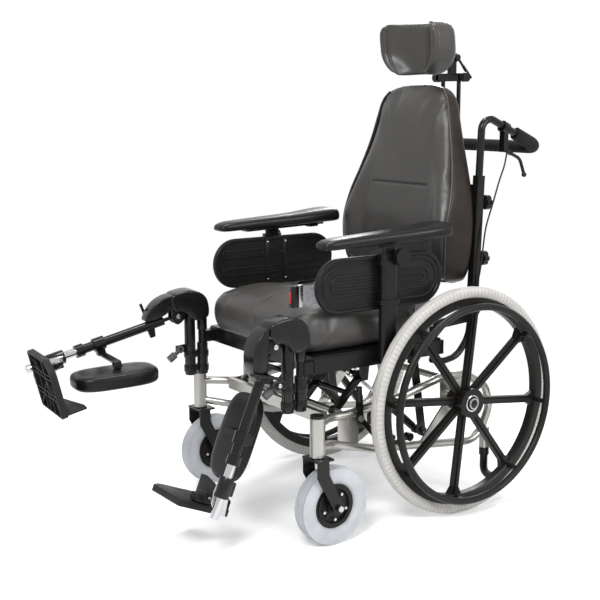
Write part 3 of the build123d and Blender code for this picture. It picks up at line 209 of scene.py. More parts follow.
def join(material, source, target, sourceSocket=0, targetSocket=0):
    material.node_tree.links.new(source.outputs[sourceSocket], target.inputs[targetSocket])


def objectCoordinates(material, scale=(1, 1, 1), turn=(0, 0, 0), shift=(0, 0, 0)):
    coordinates = addNode(material, "ShaderNodeTexCoord")
    mapping = addNode(material, "ShaderNodeMapping")
    mapping.inputs["Scale"].default_value = scale
    mapping.inputs["Rotation"].default_value = turn
    mapping.inputs["Location"].default_value = shift
    join(material, coordinates, mapping, "Object", "Vector")
    return mapping


def noiseAt(material, coordinates, scale, detail):
    noise = addNode(material, "ShaderNodeTexNoise", Scale=scale, Detail=detail)
    join(material, coordinates, noise, 0, "Vector")
    return noise


def cloudy(material, coordinates, scale, detail, low=0.0, high=1.0):     # noise spread from low to high
    ramp = addNode(material, "ShaderNodeMapRange")
    ramp.inputs["From Min"].default_value = 0.3
    ramp.inputs["From Max"].default_value = 0.7
    ramp.inputs["To Min"].default_value = low
    ramp.inputs["To Max"].default_value = high
    join(material, noiseAt(material, coordinates, scale, detail), ramp, 0, "Value")
    return ramp


def mottle(material, coordinates, scale, low, high):     # noise between two colours
    ramp = cloudy(material, coordinates, scale, 4.0)
    mix = addNode(material, "ShaderNodeMix", data_type="RGBA")
    mix.inputs[6].default_value = (*low, 1)
    mix.inputs[7].default_value = (*high, 1)
    join(material, ramp, mix, 0, 0)
    join(material, mix, material.node_tree.nodes["Principled BSDF"], 2, "Base Color")


def varyRoughness(material, coordinates, scale, low, high):
    ramp = cloudy(material, coordinates, scale, 3.0, low, high)
    join(material, ramp, material.node_tree.nodes["Principled BSDF"], 0, "Roughness")


def bumpFrom(material, source, distance, strength, before=None):
    bump = addNode(material, "ShaderNodeBump", Strength=strength, Distance=distance)
    join(material, source, bump, 0, "Height")
    if before:
        join(material, before, bump, 0, "Normal")
    join(material, bump, material.node_tree.nodes["Principled BSDF"], 0, "Normal")
    return bump


def makeVinyl():
    vinyl = newMaterial("darkVinyl", (0.043, 0.041, 0.0385), 0.36, specular=0.42)
    grainAt = objectCoordinates(vinyl)
    mottle(vinyl, grainAt, 9, (0.038, 0.036, 0.034), (0.047, 0.0447, 0.042))
    varyRoughness(vinyl, grainAt, 14, 0.32, 0.42)
    crackle = addNode(vinyl, "ShaderNodeTexVoronoi", feature="DISTANCE_TO_EDGE", Scale=620.0)
    join(vinyl, grainAt, crackle, 0, "Vector")
    fine = bumpFrom(vinyl, crackle, 0.00035, 0.35)
    bumpFrom(vinyl, noiseAt(vinyl, grainAt, 26.0, 3.0), 0.0016, 0.3, before=fine)
    return vinyl


def makeSilverPaint():
    silver = newMaterial("silverPaint", (0.40, 0.39, 0.365), 0.3, metallic=0.88, coat=0.15)
    at = objectCoordinates(silver)
    mottle(silver, at, 12, (0.385, 0.375, 0.35), (0.415, 0.405, 0.38))
    varyRoughness(silver, at, 18, 0.27, 0.33)
    bumpFrom(silver, noiseAt(silver, at, 1400.0, 1.0), 0.00003, 0.1)
    return silver


def makePaint(name, colour, roughness, specular, coat=0.0):
    paint = newMaterial(name, colour, roughness, coat=coat, coatRoughness=0.12, specular=specular)
    at = objectCoordinates(paint)
    mottle(paint, at, 50, tuple(c * 0.85 for c in colour), tuple(c * 1.2 for c in colour))
    varyRoughness(paint, at, 40, roughness * 0.85, roughness * 1.2)
    bumpFrom(paint, noiseAt(paint, at, 420.0, 1.0), 0.00012, 0.2)
    return paint


def makeMoulded(name, colour, roughness, grain=520.0, depth=0.00025):
    moulded = newMaterial(name, colour, roughness, specular=0.2)
    at = objectCoordinates(moulded)
    mottle(moulded, at, 30, tuple(c * 0.8 for c in colour), tuple(c * 1.25 for c in colour))
    varyRoughness(moulded, at, 25, roughness * 0.88, roughness * 1.12)
    bumpFrom(moulded, noiseAt(moulded, at, grain, 2.0), depth, 0.35)
    return moulded


def makeMetal(name, colour, roughness):
    metal = newMaterial(name, colour, roughness, metallic=1.0)
    at = objectCoordinates(metal, scale=(1, 1, 14))
    varyRoughness(metal, at, 90, roughness * 0.7, roughness * 1.35)
    bumpFrom(metal, noiseAt(metal, at, 160.0, 2.0), 0.0002, 0.15)
    return metal


def makeTyre(name, colour):
    rubber = newMaterial(name, colour, 0.72)
    at = objectCoordinates(rubber)
    mottle(rubber, at, 28, tuple(c * 0.9 for c in colour), tuple(c * 1.06 for c in colour))
    varyRoughness(rubber, at, 40, 0.62, 0.8)
    bumpFrom(rubber, noiseAt(rubber, at, 700.0, 2.0), 0.0002, 0.3)
    return rubber


def makeWebbing():
    webbing = newMaterial("greyWebbing", (0.30, 0.30, 0.31), 0.75, sheen=0.3)
    at = objectCoordinates(webbing)
    weave = addNode(webbing, "ShaderNodeTexWave", bands_direction="DIAGONAL", Scale=260.0, Distortion=0.5)
    join(webbing, at, weave, 0, "Vector")
    mottle(webbing, at, 120, (0.24, 0.24, 0.25), (0.38, 0.38, 0.40))
    bumpFrom(webbing, weave, 0.0004, 0.6)
    return webbing


treadSettings = {
    "count": 150,          # notches round the tyre
    "depth": 0.0012,
    "notchShade": 0.84,          # painted shade: share of the rubber's colour left in a notch, darkened as the shade in the groove
    "from": 0.0110,        # metres from the tyre's middle where the notches begin
    "to": 0.0140,
}


def makeTread(name, colour, middle):     # tyre rubber with a row of small notches along each shoulder, bumped and darkened with painted shade
    rubber = makeTyre(name, colour)
    at = objectCoordinates(rubber, shift=(-middle.x, -middle.y, -middle.z))
    split = addNode(rubber, "ShaderNodeSeparateXYZ")
    join(rubber, at, split, 0, 0)

    def step(operation, *inputs):
        node = addNode(rubber, "ShaderNodeMath", operation=operation)
        for slot, value in enumerate(inputs):
            if isinstance(value, tuple):
                join(rubber, value[0], node, value[1], slot)
            elif isinstance(value, float):
                node.inputs[slot].default_value = value
            else:
                join(rubber, value, node, 0, slot)
        return node

    turn = step("ARCTAN2", (split, 1), (split, 2))
    wave = step("SINE", step("MULTIPLY", turn, float(treadSettings["count"])))
    notch = step("GREATER_THAN", wave, 0.35)
    across = step("ABSOLUTE", (split, 0))
    shoulder = addNode(rubber, "ShaderNodeMapRange", interpolation_type="SMOOTHSTEP")
    shoulder.inputs["From Min"].default_value = treadSettings["from"]
    shoulder.inputs["From Max"].default_value = treadSettings["to"]
    join(rubber, across, shoulder, 0, "Value")
    cut = step("MULTIPLY", notch, shoulder)
    low = step("MULTIPLY", cut, -1.0)
    bumpFrom(rubber, low, treadSettings["depth"], 0.9)
    shader = rubber.node_tree.nodes["Principled BSDF"]
    plain = shader.inputs["Base Color"].links[0].from_node
    # painted shade: the notches' colour is darkened as if shaded inside the groove
    shade = addNode(rubber, "ShaderNodeMix", data_type="RGBA")
    shade.inputs[7].default_value = (*(c * treadSettings["notchShade"] for c in colour), 1)
    join(rubber, cut, shade, 0, 0)
    join(rubber, plain, shade, 2, 6)
    join(rubber, shade, shader, 2, "Base Color")
    return rubber


rubberGrey = (0.53, 0.515, 0.485)
materials = {
    "vinyl": makeVinyl(),
    "frame_silver": makeSilverPaint(),
    "frame_black": makePaint("blackPaint", (0.0060, 0.0057, 0.0055), 0.22, 0.26),
    "gloss_black": makePaint("glossBlackPlastic", (0.0060, 0.0059, 0.0060), 0.20, 0.30),
    "wheel_black": makeMoulded("wheelPlastic", (0.0085, 0.0076, 0.0068), 0.36),
    "panel_black": makeMoulded("panelPlastic", (0.0090, 0.0083, 0.0076), 0.36),
    "shell_brown": makeMoulded("shellPlastic", (0.017, 0.0125, 0.0095), 0.36),
    "grip_grey": makeMoulded("greyGrip", (0.085, 0.085, 0.088), 0.5),
    "foam_black": makeMoulded("blackFoam", (0.011, 0.011, 0.0115), 0.8, grain=900.0, depth=0.0006),
    "cable_black": makeMoulded("cableSheath", (0.010, 0.010, 0.010), 0.45),
    "tyre_grey": makeTyre("wheelTyreRubber", rubberGrey),
    "caster_grey": makeTyre("casterTyreRubber", (0.46, 0.475, 0.495)),
    "chrome": makeMetal("chrome", (0.52, 0.52, 0.53), 0.12),
    "steel": makeMetal("bareSteel", (0.50, 0.49, 0.47), 0.26),
    "webbing": makeWebbing(),
    "tread_left": makeTread("wheelTreadLeft", rubberGrey, jointPlace["wheel_roll_left"]),
    "tread_right": makeTread("wheelTreadRight", rubberGrey, jointPlace["wheel_roll_right"]),
    "padSkin": makePaint("padSkin", (0.0070, 0.0067, 0.0067), 0.32, 0.22),
    "treadBlack": makeMoulded("treadPlastic", (0.0100, 0.0098, 0.0095), 0.5),
    "button_red": makePaint("redButton", (0.55, 0.02, 0.015), 0.3, 0.2, coat=0.4),
}

slotOfNode = {s["node"]: s["material_slot"] for s in frame["record"]["subparts"]}
for nodeName, node in frame["nodes"].items():
    finish = materials[slotOfNode[nodeName]]
    node.data.materials.clear()
    node.data.materials.append(finish)
print("materials:", len(materials))

# modelling helpers; their sizes are millimetres from the rear axle's line and the floor

chairFrame = Matrix.Translation((0, axleY, 0))
hands = ((1, "left"), (-1, "right"))


def sideFrame(side):     # the right side's pieces are the left side's, mirrored
    return chairFrame @ Matrix.Diagonal((side, 1, 1, 1))


def clear():
    if bpy.context.mode != "OBJECT":
        bpy.ops.object.mode_set(mode="OBJECT")
    bpy.ops.object.select_all(action="DESELECT")


def pick(piece):
    clear()
    piece.select_set(True)
    bpy.context.view_layer.objects.active = piece


def edit(piece, action="SELECT"):
    pick(piece)
    bpy.ops.object.mode_set(mode="EDIT")
    bpy.ops.mesh.select_all(action=action)


def applyAll(piece):
    pick(piece)
    for modifier in list(piece.modifiers):
        bpy.ops.object.modifier_apply(modifier=modifier.name)


def smooth(piece, angle=40):
    pick(piece)
    bpy.ops.object.shade_smooth_by_angle(angle=radians(angle))


def soften(piece, width, segments=2, angle=35):     # rounds every edge sharper than the angle
    bevel = piece.modifiers.new("soften", "BEVEL")
    bevel.width = width / 1000
    bevel.segments = segments
    bevel.limit_method = "ANGLE"
    bevel.angle_limit = radians(angle)
    applyAll(piece)
    smooth(piece)
    return piece


def block(name, low, high, soft=1.0, segments=2):     # between two corners
    clear()
    a, b = Vector(low) / 1000, Vector(high) / 1000
    bpy.ops.mesh.primitive_cube_add(size=1, location=(a + b) / 2, scale=b - a)
    piece = bpy.context.object
    piece.name = name
    bpy.ops.object.transform_apply(location=True, rotation=True, scale=True)
    return soften(piece, soft, segments)


def rod(name, start, end, radius, soft=0.8, sides=32):     # along a line, with softened ends
    clear()
    a, b = Vector(start) / 1000, Vector(end) / 1000
    way = b - a
    bpy.ops.mesh.primitive_cylinder_add(vertices=sides, radius=radius / 1000, depth=way.length,
                                        location=(a + b) / 2, rotation=way.to_track_quat("Z", "Y").to_euler())
    piece = bpy.context.object
    piece.name = name
    bpy.ops.object.transform_apply(location=True, rotation=True, scale=True)
    return soften(piece, soft, 2, 60)


def trace(name, points):     # one vertex, extruded from point to point
    clear()
    bpy.ops.mesh.primitive_plane_add(size=0.01, location=(0, 0, 0))
    piece = bpy.context.object
    piece.name = name
    edit(piece)
    bpy.ops.mesh.merge(type="CENTER")
    steps = [Vector(p) / 1000 for p in points]
    bpy.ops.transform.translate(value=steps[0])
    for start, end in zip(steps, steps[1:]):
        bpy.ops.mesh.extrude_region_move(TRANSFORM_OT_translate={"value": end - start})
    bpy.ops.mesh.select_all(action="SELECT")
    return piece


def closeUp(piece):
    bpy.ops.mesh.select_all(action="SELECT")
    bpy.ops.mesh.remove_doubles(threshold=0.00001)
    bpy.ops.mesh.normals_make_consistent(inside=False)
    bpy.ops.object.mode_set(mode="OBJECT")
    return piece


def plate(name, outline, thickness, soft=1.0, segments=2, angle=50):     # an outline pulled along a way
    piece = trace(name, outline)
    bpy.ops.mesh.edge_face_add()
    bpy.ops.mesh.extrude_region_move(TRANSFORM_OT_translate={"value": Vector(thickness) / 1000})
    closeUp(piece)
    return soften(piece, soft, segments, angle) if soft else piece


def lathe(name, centre, profile, steps=96, angle=40):     # profile: (out along X, radius)
    middle = Vector(centre)
    piece = trace(name, [middle + Vector((x, 0, r)) for x, r in profile])
    bpy.ops.mesh.spin(steps=steps, angle=2 * pi, center=middle / 1000, axis=(1, 0, 0))
    closeUp(piece)
    smooth(piece, angle)
    return piece


def pipe(name, points, radius, closed=False):     # a round rod along a smooth line
    curve = bpy.data.curves.new(name, "CURVE")
    curve.dimensions = "3D"
    curve.bevel_depth = radius / 1000
    curve.bevel_resolution = 4
    curve.use_fill_caps = True
    spline = curve.splines.new("POLY" if closed else "NURBS")
    spline.points.add(len(points) - 1)
    for point, p in zip(spline.points, points):
        point.co = (*(Vector(p) / 1000), 1)
    spline.use_cyclic_u = closed
    if not closed:
        spline.order_u = 3
        spline.use_endpoint_u = True
        spline.resolution_u = 6
    piece = bpy.data.objects.new(name, curve)
    bpy.context.scene.collection.objects.link(piece)
    pick(piece)
    bpy.ops.object.convert(target="MESH")
    smooth(piece)
    return piece


def together(name, *pieces):
    clear()
    for piece in pieces:
        piece.select_set(True)
    bpy.context.view_layer.objects.active = pieces[0]
    bpy.ops.object.join()
    pieces[0].name = name
    return pieces[0]


def oval(length, height, steps=14):     # a racetrack about the origin, anticlockwise
    r = height / 2
    points = []
    for centre, start in ((length / 2 - r, -90), (-length / 2 + r, 90)):
        for k in range(steps + 1):
            turn = radians(start + 180 * k / steps)
            points.append((centre + r * cos(turn), r * sin(turn)))
    return points


def rounded(points, steps=4):     # a closed outline with its corners cut into curves
    ring = [Vector(p) for p in points]
    count = len(ring)
    out = []
    for k in range(count):
        a, b, c, d = (ring[(k + j) % count] for j in (-1, 0, 1, 2))
        for n in range(steps):
            out.append(through(a, b, c, d, n / steps))
    return [tuple(p) for p in out]


def dress(piece, finish, body, *nodes, onto=None):     # place, finish, body and the CAD nodes it stands for
    if onto is not None:
        piece.data.transform(onto)
        if onto.determinant() < 0:
            piece.data.flip_normals()
    piece.data.materials.clear()
    piece.data.materials.append(materials[finish])
    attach(piece, body)
    if nodes:
        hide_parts(*nodes)
    return piece


# soft goods: each is skinned, filled with air in a cloth run, then seamed

def skin(name, rings):     # a closed form from rings of equally many points
    shape = bmesh.new()
    rows = [[shape.verts.new(p) for p in ring] for ring in rings]
    for low, high in zip(rows, rows[1:]):
        for k in range(len(low)):
            n = (k + 1) % len(low)
            shape.faces.new((low[k], low[n], high[n], high[k]))
    shape.faces.new(rows[0])
    shape.faces.new(rows[-1])
    bmesh.ops.recalc_face_normals(shape, faces=shape.faces)
    mesh = bpy.data.meshes.new(name)
    shape.to_mesh(mesh)
    shape.free()
    piece = bpy.data.objects.new(name, mesh)
    bpy.context.scene.collection.objects.link(piece)
    return piece


def refine(piece):
    finer = piece.modifiers.new("finer", "SUBSURF")
    finer.levels = finer.render_levels = 1
    applyAll(piece)
    pick(piece)
    bpy.ops.object.shade_smooth()


clothSettings = {"stiffness": 12, "bending": 0.6, "frames": 20}


# remesh, fill with air for a few frames, hold what is sewn or glued, and bulge by the cap at most
def puff(piece, voxel, pressure, cap, held=None, relax=4):
    remesh = piece.modifiers.new("even", "REMESH")
    remesh.mode = "VOXEL"
    remesh.voxel_size = voxel
    applyAll(piece)
    rest = [v.co.copy() for v in piece.data.vertices]
    cloth = piece.modifiers.new("fill", "CLOTH")
    cloth.settings.use_pressure = True
    cloth.settings.uniform_pressure_force = pressure
    cloth.settings.tension_stiffness = clothSettings["stiffness"]
    cloth.settings.compression_stiffness = clothSettings["stiffness"]
    cloth.settings.bending_stiffness = clothSettings["bending"]
    cloth.settings.effector_weights.gravity = 0
    cloth.collision_settings.use_collision = False
    if held:
        group = piece.vertex_groups.new(name="held")
        group.add([v.index for v in piece.data.vertices if held(v.co)], 1.0, "REPLACE")
        cloth.settings.vertex_group_mass = "held"
    for frameNumber in range(1, clothSettings["frames"] + 1):
        bpy.context.scene.frame_set(frameNumber)
    applyAll(piece)
    for vertex, start in zip(piece.data.vertices, rest):
        way = vertex.co - start
        if way.length > 1e-9:
            vertex.co = start + way * (cap * (1 - exp(-way.length / cap)) / way.length)
    bpy.context.scene.frame_set(1)
    piece.vertex_groups.clear()
    soft = piece.modifiers.new("smooth", "SMOOTH")
    soft.factor = 0.5
    soft.iterations = relax
    refine(piece)
    return piece


def press(piece, distance, depth, width):     # a sewn line: points near it sink along their normals
    moves = []
    for vertex in piece.data.vertices:
        away = distance(vertex.co)
        if away is not None and abs(away) < 3 * width:
            moves.append((vertex, vertex.normal.copy() * depth * exp(-(away / width) ** 2)))
    for vertex, move in moves:
        vertex.co -= move


def through(before, low, high, after, t):     # between low and high at t
    return 0.5 * (2 * low + (high - before) * t + (2 * before - 5 * low + 4 * high - after) * t ** 2
                  + (3 * low - before - 3 * high + after) * t ** 3)


def along(table, at):     # a smooth curve through the rows of a table, read at its first column
    rows = [table[0]] + list(table) + [table[-1]]
    for k in range(1, len(rows) - 2):
        if at <= rows[k + 1][0] or k == len(rows) - 3:
            before, low, high, after = rows[k - 1:k + 3]
            t = min(max((at - low[0]) / (high[0] - low[0]), 0), 1)
            return [through(*four, t) for four in zip(before[1:], low[1:], high[1:], after[1:])]


def ease(value, low, high):
    t = min(max((value - low) / (high - low), 0), 1)
    return t * t * (3 - 2 * t)


def bothHalves(half):     # the left half of an outline is its right half mirrored
    return half + [(-x, y) for x, y in reversed(half) if abs(x) > 0.01]


backLean = atan2(13, 323)     # the canes go back 13 mm over a height of 323 mm
backFoot = (94.55, 592)       # the foot of the shell's back


def onBack(x, y, z):     # y forward of the shell's back is negative, z runs up the leaning back
    forward, up = backFoot
    c, n = cos(backLean), sin(backLean)
    return place(x, forward + y * c + z * n, up + z * c - y * n)


backCushionShape = {
    "levels": [     # height up the back, half width, wing depth, depth of the middle panel
        (2, 176, 58, 54), (12, 198, 84, 68), (40, 214, 104, 78), (100, 223, 114, 82), (165, 224, 114, 80),
        (235, 217, 98, 74), (300, 199, 80, 69), (370, 176, 67, 64), (440, 155, 60, 60), (485, 142, 56, 57),
        (508, 128, 52, 53), (525, 106, 46, 47), (535, 78, 39, 41), (539, 48, 34, 36),
    ],
    "panelShare": 0.60,
    "seamHeight": 268,
    "seamHalf": 118,
    "rear": 8,
    "crest": 20,         # radius of the wings' front edges
    "glued": 24,         # this much of its depth is held by the shell
}


def backRing(z):
    s = backCushionShape
    half, wing, middle = along(s["levels"], z)
    round, rear = s["crest"], s["rear"]
    crest = half - round
    panel = half * s["panelShare"]
    points = []
    for k in range(17):
        x = crest * k / 16
        points.append((x, -(middle + (wing - middle) * ease(x, panel, crest))))
    for k in range(1, 6):
        turn = radians(18 * k)
        points.append((crest + round * sin(turn), -wing + round - round * cos(turn)))
    deep = -wing + round
    points += [(half, deep * 0.66 - 5), (half - 1, deep * 0.33 - 8), (half - 4, -rear - 7)]
    points += [(half - 12, -rear)] + [(half * share, -rear) for share in (0.7, 0.45, 0.2, 0.0)]
    return [onBack(x, y, z) for x, y in bothHalves(points)]


def makeBackCushion():
    s = backCushionShape
    top = s["levels"][-1][0]
    heights = [2, 5, 9, 14, 22] + [22 + (top - 52) * k / 24 for k in range(1, 25)]
    heights += [top - 22, top - 14, top - 7, top]
    cushion = skin("backCushion", [backRing(z) for z in heights])
    held = onBack(0, -s["rear"] - s["glued"], 0).y
    foot = backFoot[1] / 1000

    def glued(p):
        return p.y - (p.z - foot) * tan(backLean) > held

    puff(cushion, 0.006, 4.0, 0.014, glued)

    def seam(p):
        front = (onBack(0, 0, 0) - p).y
        if front < 0.03 or abs(p.x) > s["seamHalf"] / 1000:
            return None
        return (p.z - (foot + s["seamHeight"] / 1000)) * cos(backLean)

    press(cushion, seam, 0.0042, 0.0035)
    return dress(cushion, "vinyl", "back", "back_cushion")


backShellShape = {
    "skin": 3,          # how far it stands outside the cushion
    "lap": 13,          # how far its sides stop behind the wings' crests
    "piping": 2.6,
}


def shellRing(z):
    s = backShellShape
    half, wing, _ = along(backCushionShape["levels"], z)
    outer, inner = half + s["skin"], half - 4
    front = -wing + s["lap"]
    right = [
        (0, -0.5), (half * 0.5, -0.5), (outer - 16, -0.5), (outer - 5, -4), (outer, -14),
        (outer, front * 0.6), (outer, front), (outer - 2, front - 2.5), (inner, front - 1),
        (inner, front * 0.6), (inner - 2, -16), (inner - 10, -10), (half * 0.5, -9), (0, -9),
    ]
    return [onBack(x, y, z) for x, y in bothHalves(right)]


def makeBackShell():
    s = backCushionShape
    top = s["levels"][-1][0]
    shell = skin("backShell", [shellRing(2 + (top - 2) * k / 48) for k in range(49)])
    refine(shell)
    dress(shell, "shell_brown", "back", "back_shell")
    cords = []
    for way in (1, -1):     # piping where the shell meets the cushion
        route = []
        for k in range(40):
            z = 14 + (top - 34) * k / 39
            half, wing, middle = along(s["levels"], z)
            route.append(onBack(way * (half + 1), -wing + backShellShape["lap"] - 2, z) * 1000)
        cords.append(pipe("piping", route, backShellShape["piping"]))
    return dress(together("backPiping", *cords), "vinyl", "back")


seatCushionShape = {
    "half": 224, "front": -476, "rear": -16, "base": 471,
    "frontCorner": 56, "rearCorner": 30,
    "armNotch": 200, "notchStart": -100,
    "levels": [     # height over the pan, drawn in by, front set back by
        (0, 12, 16), (8, 5, 9), (26, 1, 3), (50, 0, 0), (74, 2, 3), (88, 6, 11), (98, 14, 26), (107, 34, 54),
        (116, 72, 96), (122, 118, 130), (125, 170, 170),
    ],
    "sink": 0.17,      # the seat's rear is this much lower, where the sitter's weight goes
    "sinkFrom": -370, "sinkTo": -210,
    "glued": 3,        # held down up to this height
    "seam": 97,        # height of the front seam, which stops short of the arm posts
    "seamHalf": 190, "seamEnd": -40,
}


def seatRing(rise):
    s = seatCushionShape
    inset, back = along(s["levels"], rise)
    half = s["half"] - inset
    front, rear = s["front"] + back, s["rear"] - inset * 0.7
    radius = min(s["frontCorner"], half - 4)
    small = s["rearCorner"]
    points = [(0, front), ((half - radius) * 0.5, front)]
    for k in range(9):
        turn = radians(90 * k / 8)
        points.append((half - radius + radius * sin(turn), front + radius - radius * cos(turn)))
    start, end = front + radius, rear - small
    points += [(half, start + (end - start) * k / 12) for k in range(1, 12)]
    for k in range(5):
        turn = radians(90 * k / 4)
        points.append((half - small + small * cos(turn), rear - small + small * sin(turn)))
    points += [((half - small) * 0.5, rear), (0, rear)]
    ring = []
    for x, y in bothHalves(points[::-1]):
        limit = s["half"] - (s["half"] - s["armNotch"]) * ease(y, s["notchStart"], s["notchStart"] + 34)
        low = 1 - s["sink"] * ease(y, s["sinkFrom"], s["sinkTo"])
        ring.append(place(max(-limit, min(limit, x)), y, s["base"] + rise * low))
    return ring


def makeSeatCushion():
    s = seatCushionShape
    heights = [0, 3, 8, 16, 26, 38, 50, 62, 74, 81, 88, 93, 98, 103, 107, 112, 116, 119, 122, 124, 125]
    cushion = skin("seatCushion", [seatRing(z) for z in heights])
    held = place(0, 0, s["base"] + s["glued"]).z
    puff(cushion, 0.006, 3.0, 0.012, lambda p: p.z < held)
    corner = place(s["seamHalf"], s["seamEnd"], s["base"] + s["seam"])

    def seam(p):
        return None if p.y > corner.y or abs(p.x) < corner.x else p.z - corner.z

    press(cushion, seam, -0.0016, 0.0028)
    return dress(cushion, "vinyl", "seat", "seat_cushion")


headPadShape = {
    "half": 119, "height": 141, "middle": (72, 1227), "front": -34, "dish": 22, "depth": 58, "tip": 6.0,
    "bowl": 2.3,                 # how the hollow steepens
    "lean": -52, "edge": 9,      # where the rim begins, and its radius
    "corner": 30,
    "seam": 13,                  # behind the front edge
    "foot": (0.45, 2.2, 19),     # narrowed by this share, how late, and drawn in by
    "head": (0.22, 7.0, 16),
    "rounding": 9,
    "pivot": (217, 1206, 3.6), "plate": (142, 18, 24, 18),     # the arm and plate behind the pad
}


def headRing(share):
    s = headPadShape
    away = abs(2 * share - 1)
    narrow, taper, inset = s["foot"] if share < 0.5 else s["head"]
    half = s["half"] * (1 - narrow * away ** taper)
    inset *= away ** s["rounding"]
    front, dish, back = s["front"] + inset, s["dish"] + inset * 0.4, s["depth"] - inset
    edge, corner = s["edge"], s["corner"]
    lean = radians(s["lean"])
    endX, endY = half - edge + edge * sin(lean), front + edge - edge * cos(lean)
    points = [(endX * k / 16, dish + (endY - dish) * (k / 16) ** s["bowl"]) for k in range(16)]
    for k in range(8):
        turn = lean + (pi / 2 - lean) * k / 7
        points.append((half - edge + edge * sin(turn), front + edge - edge * cos(turn)))
    for k in range(1, 5):
        points.append((half, front + edge + (back - corner - front - edge) * k / 5))
    for k in range(7):
        turn = radians(15 * k)
        points.append((half - corner + corner * cos(turn), back - corner + corner * sin(turn)))
    for k in range(1, 6):
        points.append(((half - corner) * (1 - k / 5), back + 5 * k / 5))
    z = s["height"] * (share - 0.5)
    tip = tan(radians(s["tip"]))
    y0, z0 = s["middle"]
    return [place(x, y0 + y - z * tip, z0 + z) for x, y in bothHalves(points)]


def makeHeadPad():
    s = headPadShape
    shares = [0, 0.015, 0.04, 0.08] + [0.08 + 0.84 * k / 12 for k in range(1, 13)] + [0.95, 0.98, 1.0]
    pad = skin("headPad", [headRing(k) for k in shares])
    puff(pad, 0.0032, 3.0, 0.002, relax=12)
    tip = tan(radians(s["tip"]))
    y0, z0 = s["middle"]
    seamY = s["front"] + s["seam"]

    def wingSeam(p):
        if abs(p.x) < s["half"] * 0.5 / 1000:
            return None
        return p.y - place(0, y0 + seamY, 0).y + (p.z - z0 / 1000) * tip

    press(pad, wingSeam, 0.0026, 0.0024)
    dress(pad, "vinyl", "headrest_pad", "headrest_pad")
    y, z, half = s["pivot"]
    plateAt, thick, wide, tall = s["plate"]
    arm = block("headArm", (-half, plateAt, z - 6), (half, y, z + 6), 1)
    eye = rod("headEye", (-half, y, z), (half, y, z), 9, 0.6)
    back = block("headPlate", (-wide, plateAt - thick, z - tall), (wide, plateAt, z + tall), 2)
    return dress(together("headArm", arm, eye, back), "frame_black", "headrest_pad", onto=chairFrame)
# wheels

wheelCentre = (305, 0, 305)


tyreShape = {
    "radius": 305, "width": 35, "inner": 276,
    "tread": 2.2,     # how deep the two grooves round the crown are
}


def makeRearTyre(side, hand):
    s = tyreShape
    half, top = s["width"] / 2, s["radius"]
    profile = [(-half * 0.62, s["inner"]), (-half * 0.9, s["inner"] + 5), (-half, s["inner"] + 12),
               (-half * 0.92, top - 9), (-half * 0.74, top - 4.5), (-half * 0.62, top - 3.2)]
    profile += [(-half * 0.56, top - 3.2 - s["tread"]), (-half * 0.46, top - 3 - s["tread"]),
                (-half * 0.40, top - 1.2), (-half * 0.2, top - 0.3), (0, top)]
    profile += [(-x, r) for x, r in reversed(profile[:-1])]
    profile.append(profile[0])
    tyre = lathe("rearTyre_" + hand, wheelCentre, profile, 160, 50)
    return dress(tyre, "tread_" + hand, "wheel_" + hand, "rear_tyre_" + hand, onto=sideFrame(side))


hubShape = {
    "face": 338, "ring": 24,
    "turned": 7,                           # degrees that the spokes are turned from upright
    "screws": 8, "screwCircle": 262, "screwFrom": 312, "screwTo": 316,
}


def makeHub(side, hand):
    s = hubShape
    x = s["face"] - wheelCentre[0]
    outer = s["ring"]
    profile = [(x - 6, 20), (x - 6, outer), (x - 1, outer + 1), (x + 2, outer - 2), (x + 2.5, 19),
               (x - 1, 17.5), (x - 6, 20)]
    ring = lathe("hubRing_" + hand, wheelCentre, profile, 64)
    dress(ring, "chrome", "wheel_" + hand, onto=sideFrame(side))
    profile = [(x - 6, 0), (x - 6, 17), (x + 2, 16.5), (x + 7, 14), (x + 8.5, 10), (x + 8.5, 0)]
    cap = lathe("axleCap_" + hand, wheelCentre, profile, 48)
    dress(cap, "frame_black", "wheel_" + hand, onto=sideFrame(side))
    screws = []
    for k in range(s["screws"]):     # a screw where each spoke meets the rim
        turn = radians(360 / s["screws"] * k + s["turned"])
        y, z = s["screwCircle"] * sin(turn), wheelCentre[2] + s["screwCircle"] * cos(turn)
        screws.append(rod("webScrew", (s["screwFrom"], y, z), (s["screwTo"], y, z), 4.2, 1.4, 12))
    dress(together("webScrews_" + hand, *screws), "steel", "wheel_" + hand, onto=sideFrame(side))


casterShape = {
    "radius": 100, "width": 46, "inner": 57, "ribs": 5, "ribDepth": 2.0,
    "centre": (288, -420, 100),
    "bolts": 5, "boltCircle": 34, "boltTurn": 36,
}


